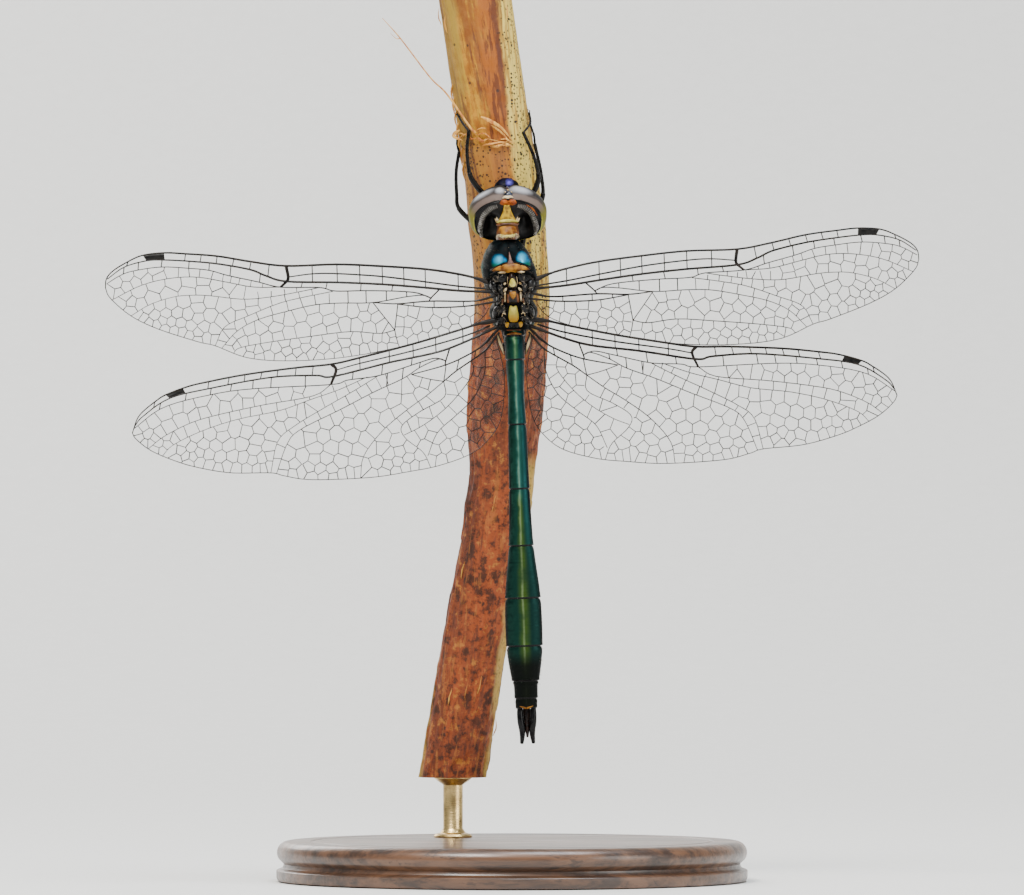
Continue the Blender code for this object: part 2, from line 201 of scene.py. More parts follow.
def close(bm, loop, point, look=0):
    """Closes a loop with a fan to one point."""
    tip = bm.verts.new(point)
    for i in range(len(loop)):
        bm.faces.new((loop[i], loop[(i + 1) % len(loop)], tip)).material_index = look


def along_list(values, share):
    """The value at a share of the way along a list."""
    place = (len(values) - 1) * share
    k = min(int(place), len(values) - 2)
    return values[k] + (values[k + 1] - values[k]) * (place - k)


def tube(bm, path, radii, sides=8, look=0, flatness=1.0, across=(0.31, 0.93, 0.17)):
    """A round bar along path with rounded ends; radii are spread evenly along it."""
    path = [Vector(p) for p in path]
    radii = [radii, radii] if isinstance(radii, float) else radii
    across = Vector(across)
    last = len(path) - 1
    rings = []
    for i, point in enumerate(path):
        ahead = (path[min(i + 1, last)] - path[max(i - 1, 0)]).normalized()
        across = (across - across.dot(ahead) * ahead).normalized()
        along = ahead.cross(across)
        radius = along_list(radii, i / last)
        end = 0.55 * radius
        if i == 0:
            rings.append(oval(point - 0.4 * radius * ahead, across, along, end, end, sides))
        rings.append(oval(point, across, along, radius, radius * flatness, sides))
        if i == last:
            rings.append(oval(point + 0.4 * radius * ahead, across, along, end, end, sides))
    return skin(bm, rings, look=look)


def spike(bm, root, tip, radius, sides=3, look=0, bow=None):
    """A tapered bristle; bow pushes its middle sideways."""
    root, tip = Vector(root), Vector(tip)
    ahead = (tip - root).normalized()
    across = ahead.orthogonal().normalized()
    along = ahead.cross(across)
    middle = (root + tip) / 2 + (bow or Vector())
    rings = [oval(p, across, along, r, r, sides) for p, r in ((root, radius), (middle, 0.7 * radius))]
    loops = skin(bm, rings, caps=(False, False), look=look)
    close(bm, loops[-1], tip, look)


def lump(bm, centre, radii, look=0, turn=(0, 0, 0), roughness=0.0, detail=3):
    """A rounded knob, slightly uneven."""
    radii = (radii, radii, radii) if isinstance(radii, float) else radii
    made = bmesh.ops.create_icosphere(bm, subdivisions=detail, radius=1.0)["verts"]
    place = Matrix.Translation(centre) @ Matrix.Rotation(turn[2], 4, "Z") @ Matrix.Rotation(turn[1], 4, "Y")
    place = place @ Matrix.Rotation(turn[0], 4, "X")
    for vert in made:
        swell = 1 + roughness * noise.noise(vert.co * 2.3 + Vector(centre))
        vert.co = place @ Vector(c * r * swell for c, r in zip(vert.co, radii))
    for face in {face for vert in made for face in vert.link_faces}:
        face.material_index = look


def plate(bm, outline, surface, rise, look=0, steps=5, fullness=0.5):
    """A domed plate over an outline; surface(a, b, lift) gives a point over the form that carries it."""
    edge = closed_spline(outline, PLATE_SPAN)
    middle = sum(edge, Vector((0, 0))) / len(edge)
    rings = [[surface(p.x, p.y, -PLATE_SINK) for p in edge]]
    for k in range(steps):
        share = 1 - k / steps
        lift = rise * (1 - share ** 2) ** fullness
        rings.append([surface(*(middle + (p - middle) * share), lift) for p in edge])
    loops = skin(bm, rings, caps=(False, False), look=look)
    close(bm, loops[-1], surface(middle.x, middle.y, rise), look)


def lean_left(bm):
    """Bends the front a little to the left and draws in the waist between the wings."""
    for vert in bm.verts:
        x, z = vert.co.x, vert.co.z
        slim = SLIMMING * smooth_step(5.4, 4.6, z) * smooth_step(-3.0, -1.6, z)
        waist = (slim + WAIST * bell(z, 0.0, WAIST_REACH)) * smooth_step(0.5, 1.6, abs(x))
        roll = FRONT_ROLL * (vert.co.y + 1.3) * smooth_step(0.5, 3.0, z) * smooth_step(6.0, 5.0, z)
        vert.co.x = x * (1 - waist) - FRONT_LEAN * smooth_step(1.2, 5.6, z) - roll


def mirrored(outline, side):
    """An outline as it is, or turned over to the other side."""
    return [(side * a, b) for a, b in outline]


def link_object(name, data):
    made = bpy.data.objects.new(name, data)
    bpy.context.scene.collection.objects.link(made)
    return made


def piece(name, bm, place, looks, replaced=(), sharp=42.0):
    """Finishes a mesh made in millimetres as an object that rides on the model's one body."""
    bmesh.ops.recalc_face_normals(bm, faces=bm.faces)
    bm.transform(Matrix.Scale(MM, 4) @ place)
    mesh = bpy.data.meshes.new(name)
    bm.to_mesh(mesh)
    bm.free()
    for look in looks:
        mesh.materials.append(look)
    mesh.shade_smooth()
    mesh.set_sharp_from_angle(angle=math.radians(sharp))
    made = link_object(name, mesh)
    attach(made, BODY)
    if replaced:
        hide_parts(*replaced)
    return made


# --- shader building -----------------------------------------------------------------------------
FINISHES = {}
OPEN_TREES = []                  # the node trees that are being filled, the innermost last


class Flow:
    """A value that changes over the surface, for sums and products with others."""

    def __init__(self, socket):
        self.socket = socket

    def __add__(self, other):
        return maths("ADD", self, other)

    def __radd__(self, other):
        return maths("ADD", other, self)

    def __sub__(self, other):
        return maths("SUBTRACT", self, other)

    def __rsub__(self, other):
        return maths("SUBTRACT", other, self)

    def __mul__(self, other):
        return maths("MULTIPLY", self, other)

    def __truediv__(self, other):
        return maths("DIVIDE", self, other)

    def __abs__(self):
        return maths("ABSOLUTE", self)


def feed(socket, value):
    """Links a changing value to a socket, or sets the socket to a fixed one."""
    value = getattr(value, "socket", value)
    if isinstance(value, bpy.types.NodeSocket):
        OPEN_TREES[-1].links.new(value, socket)
    elif socket.type == "RGBA":
        socket.default_value = (*value[:3], 1.0)
    else:
        socket.default_value = value


def node(kind, values, **settings):
    """A new shader node with these values at its sockets."""
    made = OPEN_TREES[-1].nodes.new("ShaderNode" + kind)
    for key, value in settings.items():
        setattr(made, key, value)
    for key, value in values.items():
        feed(made.inputs[key], value)
    return made


def maths(operation, first, second=0.0):
    return Flow(node("Math", {0: first, 1: second}, operation=operation).outputs[0])


def larger(first, second):
    return maths("MAXIMUM", first, second)


def mix(share, first, second):
    """A colour that goes from the first to the second as share rises."""
    return Flow(node("Mix", {0: share, 6: first, 7: second}, data_type="RGBA").outputs[2])


def spread(value, low, high, bottom=0.0, top=1.0):
    """Maps value smoothly from low..high to bottom..top."""
    values = {0: value, 1: low, 2: high, 3: bottom, 4: top}
    return Flow(node("MapRange", values, interpolation_type="SMOOTHSTEP").outputs[0])


def cloud(point, scale, detail=2.0, **more):
    """Soft noise from 0 to 1."""
    values = {"Vector": point, "Scale": scale, "Detail": detail, **more}
    return Flow(node("TexNoise", values).outputs["Fac"])


def cells(point, scale, **more):
    """The distance to the middle of the nearest of many cells."""
    return Flow(node("TexVoronoi", {"Vector": point, "Scale": scale, **more}).outputs["Distance"])


def mapped(point, **change):
    """A point moved, turned or stretched."""
    return Flow(node("Mapping", {"Vector": point, **change}).outputs[0])


def frame_point(place=WORLD_FRAME):
    """Where the shaded point is in one of the three frames, in millimetres."""
    back = place.inverted()
    raw = node("TexCoord", {}).outputs["Object"]
    return mapped(raw, Location=back.translation, Rotation=back.to_euler(), Scale=(TO_MM,) * 3)


def axes(point):
    """A point's three coordinates."""
    return [Flow(socket) for socket in node("SeparateXYZ", {0: point}).outputs]


def grouped(name, values, build):
    """Places a shader node group with these named inputs; build fills it the first time."""
    made = bpy.data.node_groups.get(name)
    if not made:
        made = bpy.data.node_groups.new(name, "ShaderNodeTree")
        for key, value in values.items():
            kind = "NodeSocketVector" if key in ("Point", "Middle", "Reach") else "NodeSocketFloat"
            socket = made.interface.new_socket(key, in_out="INPUT", socket_type=kind)
            if not isinstance(value, Flow):
                socket.default_value = value
        source = made.nodes.new("NodeGroupInput")
        OPEN_TREES.append(made)
        results = build(*[Flow(source.outputs[key]) for key in values])
        OPEN_TREES.pop()
        for key in results:
            made.interface.new_socket(key, in_out="OUTPUT", socket_type="NodeSocketFloat")
        sink = made.nodes.new("NodeGroupOutput")
        for key, value in results.items():
            made.links.new(value.socket, sink.inputs[key])
    return [Flow(socket) for socket in node("Group", values, node_tree=made).outputs]


def grain(point, scale, pitting=0.5):
    """Fine uneven cuticle, shallow pits over a soft mottling: its shade and its height."""
    def build(point, scale, pitting):
        soft = cloud(point, scale, 4.0)
        pits = node("TexVoronoi", {"Vector": point, "Scale": scale * 3.1}, feature="SMOOTH_F1")
        pit = Flow(pits.outputs["Distance"]) * pitting
        return {"Shade": spread(soft, 0.35, 0.65), "Height": soft * 0.6 + pit}
    return grouped("cuticle_grain", {"Point": point, "Scale": scale, "Pitting": pitting}, build)


def spot(point, middle, reach, softness=0.3, raggedness=0.3):
    """A soft-edged oval patch round a place."""
    def build(point, middle, reach, softness, raggedness):
        away = node("VectorMath", {0: point, 1: middle}, operation="SUBTRACT").outputs[0]
        shares = node("VectorMath", {0: away, 1: reach}, operation="DIVIDE").outputs[0]
        length = Flow(node("VectorMath", {0: shares}, operation="LENGTH").outputs["Value"])
        edge = length + (cloud(point, 3.0, 3.0) - 0.5) * raggedness
        return {"Mask": spread(edge, 1.0 - softness, 1.0 + softness, 1.0, 0.0)}
    values = {"Point": point, "Middle": middle, "Reach": reach}
    values.update(Softness=softness, Raggedness=raggedness)
    return grouped("soft_spot", values, build)[0]


def spots(point, places, softness, raggedness=0.3):
    """Several soft patches together."""
    return functools.reduce(larger, [spot(point, *place, softness, raggedness) for place in places])


def fibres(point, scale):
    """Long fibres that run up a stem or a board: their streaks and their height."""
    def build(point, scale):
        stretch = mapped(point, Scale=(1.0, 1.0, 0.06))
        both = cloud(stretch, scale, 6.0, Roughness=0.65) * 0.6 + cloud(stretch, scale * 0.28) * 0.4
        return {"Streak": spread(both, 0.38, 0.62), "Height": both}
    return grouped("long_fibre", {"Point": point, "Scale": scale}, build)


def speckles(point, scale, size):
    """Scattered round specks of uneven size."""
    def build(point, scale, size):
        grid = node("TexVoronoi", {"Vector": point, "Scale": scale}).outputs
        size = size * Flow(node("SeparateColor", {0: grid["Color"]}).outputs[0])
        return {"Mask": spread(Flow(grid["Distance"]), size * 0.6, size, 1.0, 0.0)}
    return grouped("speckles", {"Point": point, "Scale": scale, "Size": size}, build)[0]


def relief(height, depth, strength=1.0):
    """A bump of the given depth in millimetres."""
    return node("Bump", {"Height": height, "Distance": depth * MM, "Strength": strength}).outputs[0]


def finish(name, **constants):
    """Makes a look of a function that returns what feeds the shader's changing inputs; it is built once."""
    def keep(build):
        def look(*tints):
            if name not in FINISHES:
                made = bpy.data.materials.new("fine_" + name)
                FINISHES[name] = made
                made.use_nodes = True
                OPEN_TREES.append(made.node_tree)
                shader = made.node_tree.nodes["Principled BSDF"]
                for key, value in constants.items():
                    shader.inputs[key.replace("_", " ").title().replace("Ior", "IOR")].default_value = value
                for key, value in build(*tints).items():
                    feed(shader.inputs[key], value)
                OPEN_TREES.pop()
            return FINISHES[name]
        return look
    return keep


def cuticle(name, dark, light, place=BODY_FRAME, scale=2.0, gloss=0.35, depth=0.02, specular=0.5,
            coat=(0.0, 0.03), extra=None):
    """A look of insect skin that varies between two colours, with grain of its own scale."""
    @finish(name, specular_ior_level=specular, coat_weight=coat[0], coat_roughness=coat[1])
    def look():
        point = frame_point(place)
        shade, height = grain(point, scale)
        colour = mix(shade, dark, light)
        rough = spread(shade, 0.0, 1.0, gloss * 0.8, gloss * 1.3)
        if extra:
            colour = extra(point, colour)
        return {"Base Color": colour, "Roughness": rough, "Normal": relief(height, depth)}
    return look


# --- finishes ------------------------------------------------------------------------------------
# painted reflections: silver spots on the upper eyes, where the lamps' soft highlights would fall
EYE_SHEEN_SPOTS = (
    ((-2.25, 0.25, 1.95), (0.98, 0.44, 0.8)), ((-0.62, 0.0, 2.5), (0.36, 0.36, 0.6)),
    ((1.2, 0.15, 2.4), (0.88, 0.46, 0.7)),
)
# painted sheen: the two turquoise patches on the thorax front, with brighter painted highlights (the glints)
# at their cores
THORAX_SHEEN_PATCHES = (
    ((-1.16, -1.0, 3.3), (0.45, 1.6, 0.5)), ((-0.62, -1.0, 3.3), (0.16, 1.6, 0.3)),
    ((0.95, -1.0, 3.45), (0.4, 1.6, 0.52)), ((1.36, -1.0, 3.15), (0.24, 1.6, 0.36)),
)
THORAX_GLINTS = (((-1.2, -1.0, 3.6), (0.36, 1.6, 0.36)), ((0.92, -1.0, 3.72), (0.34, 1.6, 0.5)))
SOOT = (0.001, 0.001, 0.001)
NEAR_BLACK = (0.006, 0.005, 0.004)
FILM_ROSE = (0.82, 0.7, 0.68)
FILM_GREEN = (0.7, 0.8, 0.66)


def bloomed(point, colour):
    """The grey bloom of an old male."""
    share = spread(cloud(point, 1.1, 5.0, Roughness=0.62), 0.54, 0.76, 0.0, 0.3)
    return mix(share, colour, (0.06, 0.06, 0.065))


def graded(point, colour):
    """Pale cream in front, olive and then ochre behind."""
    height = axes(point)[2]
    colour = mix(spread(height, 0.6, -0.6), colour, mix(0.6, colour, (0.2, 0.17, 0.006)))
    return mix(spread(height, -1.1, -1.9), colour, (0.3, 0.15, 0.006))


def dotted(point, colour):
    """Warmer towards the wings, with fine dark specks."""
    colour = mix(spread(axes(point)[2], 7.1, 6.5), colour, mix(0.5, colour, (0.36, 0.12, 0.02)))
    return mix(speckles(point, 4.2, 0.5) * 0.8, colour, (0.05, 0.03, 0.005))


def sided(point, colour):
    """Black behind the crown, its own colour down the cheeks."""
    return mix(spread(axes(point)[2], 0.9, 0.1), NEAR_BLACK, colour)


def shaded(point, colour):
    """Greyish in places."""
    return mix(spread(cloud(point, 1.8, 5.0), 0.52, 0.78, 0.0, 0.25), colour, (0.06, 0.05, 0.045))


def striped(point, colour):
    """Finely striped, darker towards the crown."""
    lines = cloud(point, 5.0, 4.0, Roughness=0.7)
    colour = mix(spread(lines, 0.42, 0.6, 0.9, 0.0), colour, (0.015, 0.013, 0.01))
    return mix(spread(axes(point)[2], -0.4, 1.3, 0.0, 0.8), colour, (0.03, 0.027, 0.024))


def faded(point, colour):
    """Darker towards the crown."""
    return mix(spread(axes(point)[2], 0.2, 1.5, 0.0, 0.75), colour, (0.08, 0.07, 0.06))


black_chitin = cuticle("black_chitin", (0.0008, 0.0009, 0.001), (0.004, 0.004, 0.0045), gloss=0.26,
                       specular=0.14, coat=(0.05, 0.1))
dusted_black = cuticle("dusted_black", (0.0008, 0.0008, 0.001), NEAR_BLACK, gloss=0.26, depth=0.06,
                       specular=0.16, coat=(0.06, 0.1), extra=bloomed)
leg_chitin = cuticle("leg_chitin", SOOT, NEAR_BLACK, scale=3.5, gloss=0.3, specular=0.14, coat=(0.04, 0.15))
ochre_plate = cuticle("ochre_plate", (0.1, 0.028, 0.002), (0.32, 0.14, 0.014), scale=1.8, gloss=0.5,
                      specular=0.2)
brown_plate = cuticle("brown_plate", (0.035, 0.009, 0.002), (0.13, 0.04, 0.006), scale=2.2, gloss=0.4,
                      specular=0.3, coat=(0.06, 0.2))
dark_brown_plate = cuticle("dark_brown_plate", (0.002, 0.001, 0.0008), (0.014, 0.005, 0.0025), gloss=0.3,
                           specular=0.2, coat=(0.06, 0.15))
yellow_plate = cuticle("yellow_plate", (0.34, 0.28, 0.03), (0.66, 0.56, 0.15), scale=1.4, gloss=0.5,
                       specular=0.2, extra=graded)
mauve_plate = cuticle("mauve_plate", (0.05, 0.022, 0.018), (0.2, 0.11, 0.09), scale=2.2, gloss=0.5,
                      specular=0.2)
bone_plate = cuticle("bone_plate", (0.22, 0.13, 0.05), (0.62, 0.5, 0.3), gloss=0.5, specular=0.2)
pale_hair = cuticle("pale_hair", (0.5, 0.38, 0.18), (0.72, 0.62, 0.4), scale=4.0, gloss=0.5, depth=0.004)
dull_hair = cuticle("dull_hair", (0.06, 0.045, 0.03), (0.22, 0.18, 0.13), scale=4.0, gloss=0.5, depth=0.004)
ochre_skin = cuticle("ochre_skin", (0.2, 0.1, 0.002), (0.48, 0.3, 0.01), scale=2.6, gloss=0.5, specular=0.3,
                     extra=dotted)
eye_rim = cuticle("eye_rim", (0.14, 0.13, 0.008), (0.36, 0.34, 0.04), HEAD_FRAME, scale=1.4, gloss=0.5,
                  specular=0.15, extra=sided)
vertex_metal = cuticle("vertex_metal", (0.003, 0.004, 0.007), (0.025, 0.035, 0.06), HEAD_FRAME, gloss=0.25,
                       specular=0.4, coat=(0.3, 0.15))
occiput_skin = cuticle("occiput_skin", (0.16, 0.026, 0.003), (0.4, 0.1, 0.008), HEAD_FRAME, scale=2.2,
                       gloss=0.5, specular=0.2)
head_rear_skin = cuticle("head_rear_skin", SOOT, (0.005, 0.004, 0.004), HEAD_FRAME, scale=2.4, gloss=0.45,
                         specular=0.2, extra=shaded)
silver_pad = cuticle("silver_pad", (0.07, 0.065, 0.06), (0.3, 0.29, 0.27), HEAD_FRAME, scale=3.0, gloss=0.5,
                     specular=0.25, extra=striped)
pad_rib = cuticle("pad_rib", (0.16, 0.14, 0.12), (0.55, 0.52, 0.46), HEAD_FRAME, scale=3.0, gloss=0.42,
                  extra=faded)
ocellus_lens = cuticle("ocellus_lens", (0.16, 0.09, 0.03), (0.5, 0.36, 0.16), HEAD_FRAME, scale=6.0,
                       gloss=0.12, depth=0.002, coat=(0.8, 0.05))
face_skin = cuticle("face_skin", (0.2, 0.12, 0.03), (0.62, 0.48, 0.14), HEAD_FRAME, scale=1.3, gloss=0.36,
                    coat=(0.3, 0.2))
vein_chitin = cuticle("vein_chitin", (0.0015, 0.001, 0.001), (0.012, 0.008, 0.005), scale=1.5, gloss=0.45,
                      depth=0.004, specular=0.2)
stigma_chitin = cuticle("stigma_chitin", SOOT, NEAR_BLACK, scale=3.0, gloss=0.4, depth=0.01, specular=0.2)
pale_film = cuticle("pale_film", (0.12, 0.08, 0.03), (0.28, 0.21, 0.11), scale=1.5, gloss=0.5, specular=0.2)


@finish("eye_shell", specular_ior_level=0.1)
def eye_shell(tint, rim_tint, side_tint):
    """Smooth facetted eye: painted silver reflections above, pinkish brown behind, yellow-green at the
    cheeks, dark in front.
    """
    point = frame_point(HEAD_FRAME)
    across, ahead, crown = axes(point)
    drift = cloud(point, 0.9, 3.0)
    depth = ahead + (drift - 0.5) * 0.3
    dark = (0.02, 0.018, 0.018)
    line = spread(abs(depth + 0.42), 0.0, 0.16)
    colour = mix(spread(depth, -0.7, -0.1), rim_tint, dark)
    colour = mix(line, mix(0.55, colour, dark), colour)
    # painted reflection: the silver spots over the upper eye
    colour = mix(spots(point, EYE_SHEEN_SPOTS, 0.7, 0.15) * 0.9, colour, tint)
    colour = mix(spread(depth - across * 0.22, 0.55, 1.05), colour, (0.008, 0.01, 0.008))
    cheek = spread(abs(across), 2.5, 3.1) * spread(crown, 1.3, 0.0)
    colour = mix(larger(cheek, spread(crown, -0.3, -1.5)), colour, side_tint)
    facets = cells(point, 22.0, Randomness=0.25) * 0.6
    return {
        "Base Color": mix(spread(facets, 0.1, 0.4, 0.0, 0.16), colour, (0.0, 0.0, 0.0)),
        "Roughness": spread(drift, 0.3, 0.7, 0.42, 0.55),
        "Normal": relief(facets, 0.003, 0.35),
    }


@finish("frons_metal", specular_ior_level=0.06)
def frons_metal():
    """Nearly black, with a painted blue sheen on one lobe and a faint painted sheen, which barely shows, on
    the other.
    """
    point = frame_point(HEAD_FRAME)
    shade, pits = grain(point, 2.6, 0.8)
    # painted sheen: a blue spot on the right lobe, a faint one on the left
    faint = spot(point, (-0.4, 2.0, 1.8), (0.25, 0.5, 0.2), 0.8) * 0.04
    sheen_on_lobes = larger(faint, spot(point, (0.26, 1.95, 1.95), (0.27, 0.45, 0.25), 0.8))
    blue = mix(shade, (0.02, 0.016, 0.1), (0.07, 0.055, 0.3))
    colour = mix(sheen_on_lobes, (0.001, 0.0012, 0.003), blue)
    return {
        "Base Color": mix(spread(axes(point)[2], 0.75, 0.5), colour, (0.02, 0.05, 0.045)),
        "Metallic": sheen_on_lobes * 0.6,
        "Roughness": spread(shade, 0.0, 1.0, 0.36, 0.48),
        "Normal": relief(pits, 0.01),
    }


@finish("thorax_metal", specular_ior_level=0.03)
def thorax_metal(patch_sheen_tint, side_tint):
    """Blue-black front with two turquoise patches of painted sheen, brightest in painted highlights at their
    cores, bottle-green flanks with a band of painted teal sheen, that fade to brown below.
    """
    point = frame_point(BODY_FRAME)
    across, depth, height = axes(point)
    shade, pits = grain(point, 2.2, 0.12)
    bloom = cloud(point, 1.3, 5.0)
    # painted sheen: turquoise patches where the metallic front shines, brightest in painted highlights at
    # their cores
    patch = spots(point, THORAX_SHEEN_PATCHES, 0.75) * spread(height + across * across * 0.19, 3.3, 3.46)
    tint = mix(spread(height, 3.05, 3.6), (0.003, 0.16, 0.1), patch_sheen_tint)
    tint = mix(spots(point, THORAX_GLINTS, 0.9) * 0.85, tint, (0.09, 0.55, 0.78))
    colour = mix(patch, mix(shade, (0.0008, 0.0012, 0.0015), (0.0025, 0.005, 0.006)), tint)
    sides = mix(shade, side_tint, (0.012, 0.03, 0.018))
    # painted sheen: a teal band along the upper flanks, where the metallic flank shines
    shoulder = spread(height, 1.7, 2.4) * spread(height, 3.5, 2.8)
    sides = mix(shoulder * spread(depth, 3.2, 1.8), sides, (0.006, 0.07, 0.055))
    sides = mix(spread(bloom, 0.5, 0.68, 0.0, 0.7), sides, (0.03, 0.022, 0.006))
    for start, slope in SUTURES:
        gap = abs(height - start - (depth - 0.2) * slope)
        sides = mix(spread(gap, 0.14, 0.05), sides, SOOT)
        beside = spread(gap, 0.32, 0.2) * spread(depth, 1.6, 3.4)
        sides = mix(beside * 0.4, sides, (0.14, 0.09, 0.02))
    colour = mix(spread(depth, 0.4, 1.8), colour, sides)
    brown = mix(bloom, (0.03, 0.018, 0.01), (0.13, 0.08, 0.035))
    colour = mix(spread(depth, 3.9, 4.9), colour, brown)
    black = mix(spread(bloom, 0.52, 0.78, 0.0, 0.35), SOOT, (0.06, 0.06, 0.06))
    return {
        "Base Color": mix(spread(height, 2.4, 1.9) * spread(depth, 1.6, 0.6), colour, black),
        "Metallic": patch * 0.75,
        "Roughness": spread(shade, 0.0, 1.0, 0.42, 0.58) - patch * 0.14,
        "Normal": relief(pits, 0.02),
    }


@finish("abdomen_metal", specular_ior_level=0.05)
def abdomen_metal(green, sheen_stripe, shine):
    """Dark metallic green with a painted highlight along the back's middle, painted shade on its left side
    and a painted blue sheen to its right, black towards the end.
    """
    point = frame_point(BODY_FRAME)
    across, depth, height = axes(point)
    shade, pits = grain(point, 2.6, 0.3)
    ribs = cloud(mapped(point, Scale=(0.5, 0.5, 7.0)), 1.0)
    wander = cloud(point, 0.7, 3.0)
    shifted = across + (wander - 0.5) * 0.25
    half = spread(height, -17.0, -27.0, 0.8, 1.6)
    offset = shifted / half
    # painted shade: the left side of the abdomen is darker green
    near = mix(shade, (0.005, 0.022, 0.016), (0.01, 0.042, 0.03))
    colour = mix(spread(offset, -0.8, -0.3), near, green)
    # painted sheen: blue-green to the right of the back's middle
    blue = spread(offset, 0.1, 0.7) * spread(height, -29.0, -15.0, 0.15, 0.55)
    colour = mix(blue, colour, shine)
    dull = spread(height, -17.0, -26.0, 0.0, 0.75) * spread(offset, -0.5, 0.3, 0.6, 1.0)
    colour = mix(dull, colour, (0.005, 0.016, 0.015))
    # painted highlight: a brighter green band down the middle of the back, its tint changing from segment to
    # segment
    top_end = spread(height, -5.3, -4.9)
    slender = spread(height, -6.0, -8.0) * spread(height, -17.5, -16.5)
    sheen_band_tint = mix(larger(top_end, spread(height, -16.7, -18.5)), sheen_stripe, (0.045, 0.085, 0.01))
    sheen_band_tint = mix(slender, sheen_band_tint, (0.03, 0.13, 0.115))
    sheen_band_tint = mix(top_end, sheen_band_tint, (0.06, 0.17, 0.07))
    sheen_band = spread(abs(offset - 0.05), 0.42, 0.03) * spread(wander, 0.3, 0.62, 0.3, 0.8)
    colour = mix(sheen_band, colour, sheen_band_tint)
    # painted highlight: a narrow pale line along the ridge of the back
    line = spread(abs(shifted), 0.16, 0.0) * spread(depth, 2.6, 1.4)
    ridge_highlight = line * spread(wander, 0.35, 0.6, 0.1, 0.45)
    colour = mix(ridge_highlight, colour, mix(0.5, sheen_band_tint, (0.4, 0.5, 0.3)))
    dark_end = spread(height, -30.7, -32.6)
    colour = mix(dark_end * 0.97, colour, (0.0015, 0.002, 0.0015))
    rim = spread(abs(across / half), 0.82, 0.98)
    colour = mix(rim, colour, (0.001, 0.0015, 0.0012))
    under = spread(depth, 2.7, 3.3)
    pale = mix(wander, (0.05, 0.04, 0.02), (0.3, 0.24, 0.1))
    return {
        "Base Color": mix(under * 0.7, colour, pale),
        "Metallic": spread(under, 0.0, 1.0, 0.75, 0.05) * (1.0 - larger(rim, dark_end)),
        "Roughness": spread(shade, 0.0, 1.0, 0.32, 0.46),
        "Normal": relief(ribs * 0.9 + pits * 0.4, 0.028),
    }


@finish("wing_film", specular_ior_level=0.25, thin_film_thickness=420.0, thin_film_ior=1.5)
def wing_film(tint, cover):
    """The clear wing membrane: a thin film with a faint milky and rainbow play."""
    point = frame_point(BODY_FRAME)
    broad = cloud(point, 0.22, 3.0, Distortion=0.8)
    fine = cloud(point, 4.0, 3.0)
    bands = node("ValToRGB", {0: broad})
    bands.color_ramp.elements.new(0.5)
    stops = bands.color_ramp.elements
    for stop, share, shade in zip(stops, (0.36, 0.5, 0.66), (tint, FILM_ROSE, FILM_GREEN)):
        stop.position = share
        stop.color = (*shade, 1.0)
    return {
        "Base Color": bands.outputs[0],
        "Alpha": spread(broad, 0.35, 0.7, cover * 0.5, cover * 1.6),
        "Roughness": spread(fine, 0.3, 0.7, 0.16, 0.26),
        "Normal": relief(broad * 2.0 + fine * 0.15, 0.03),
    }


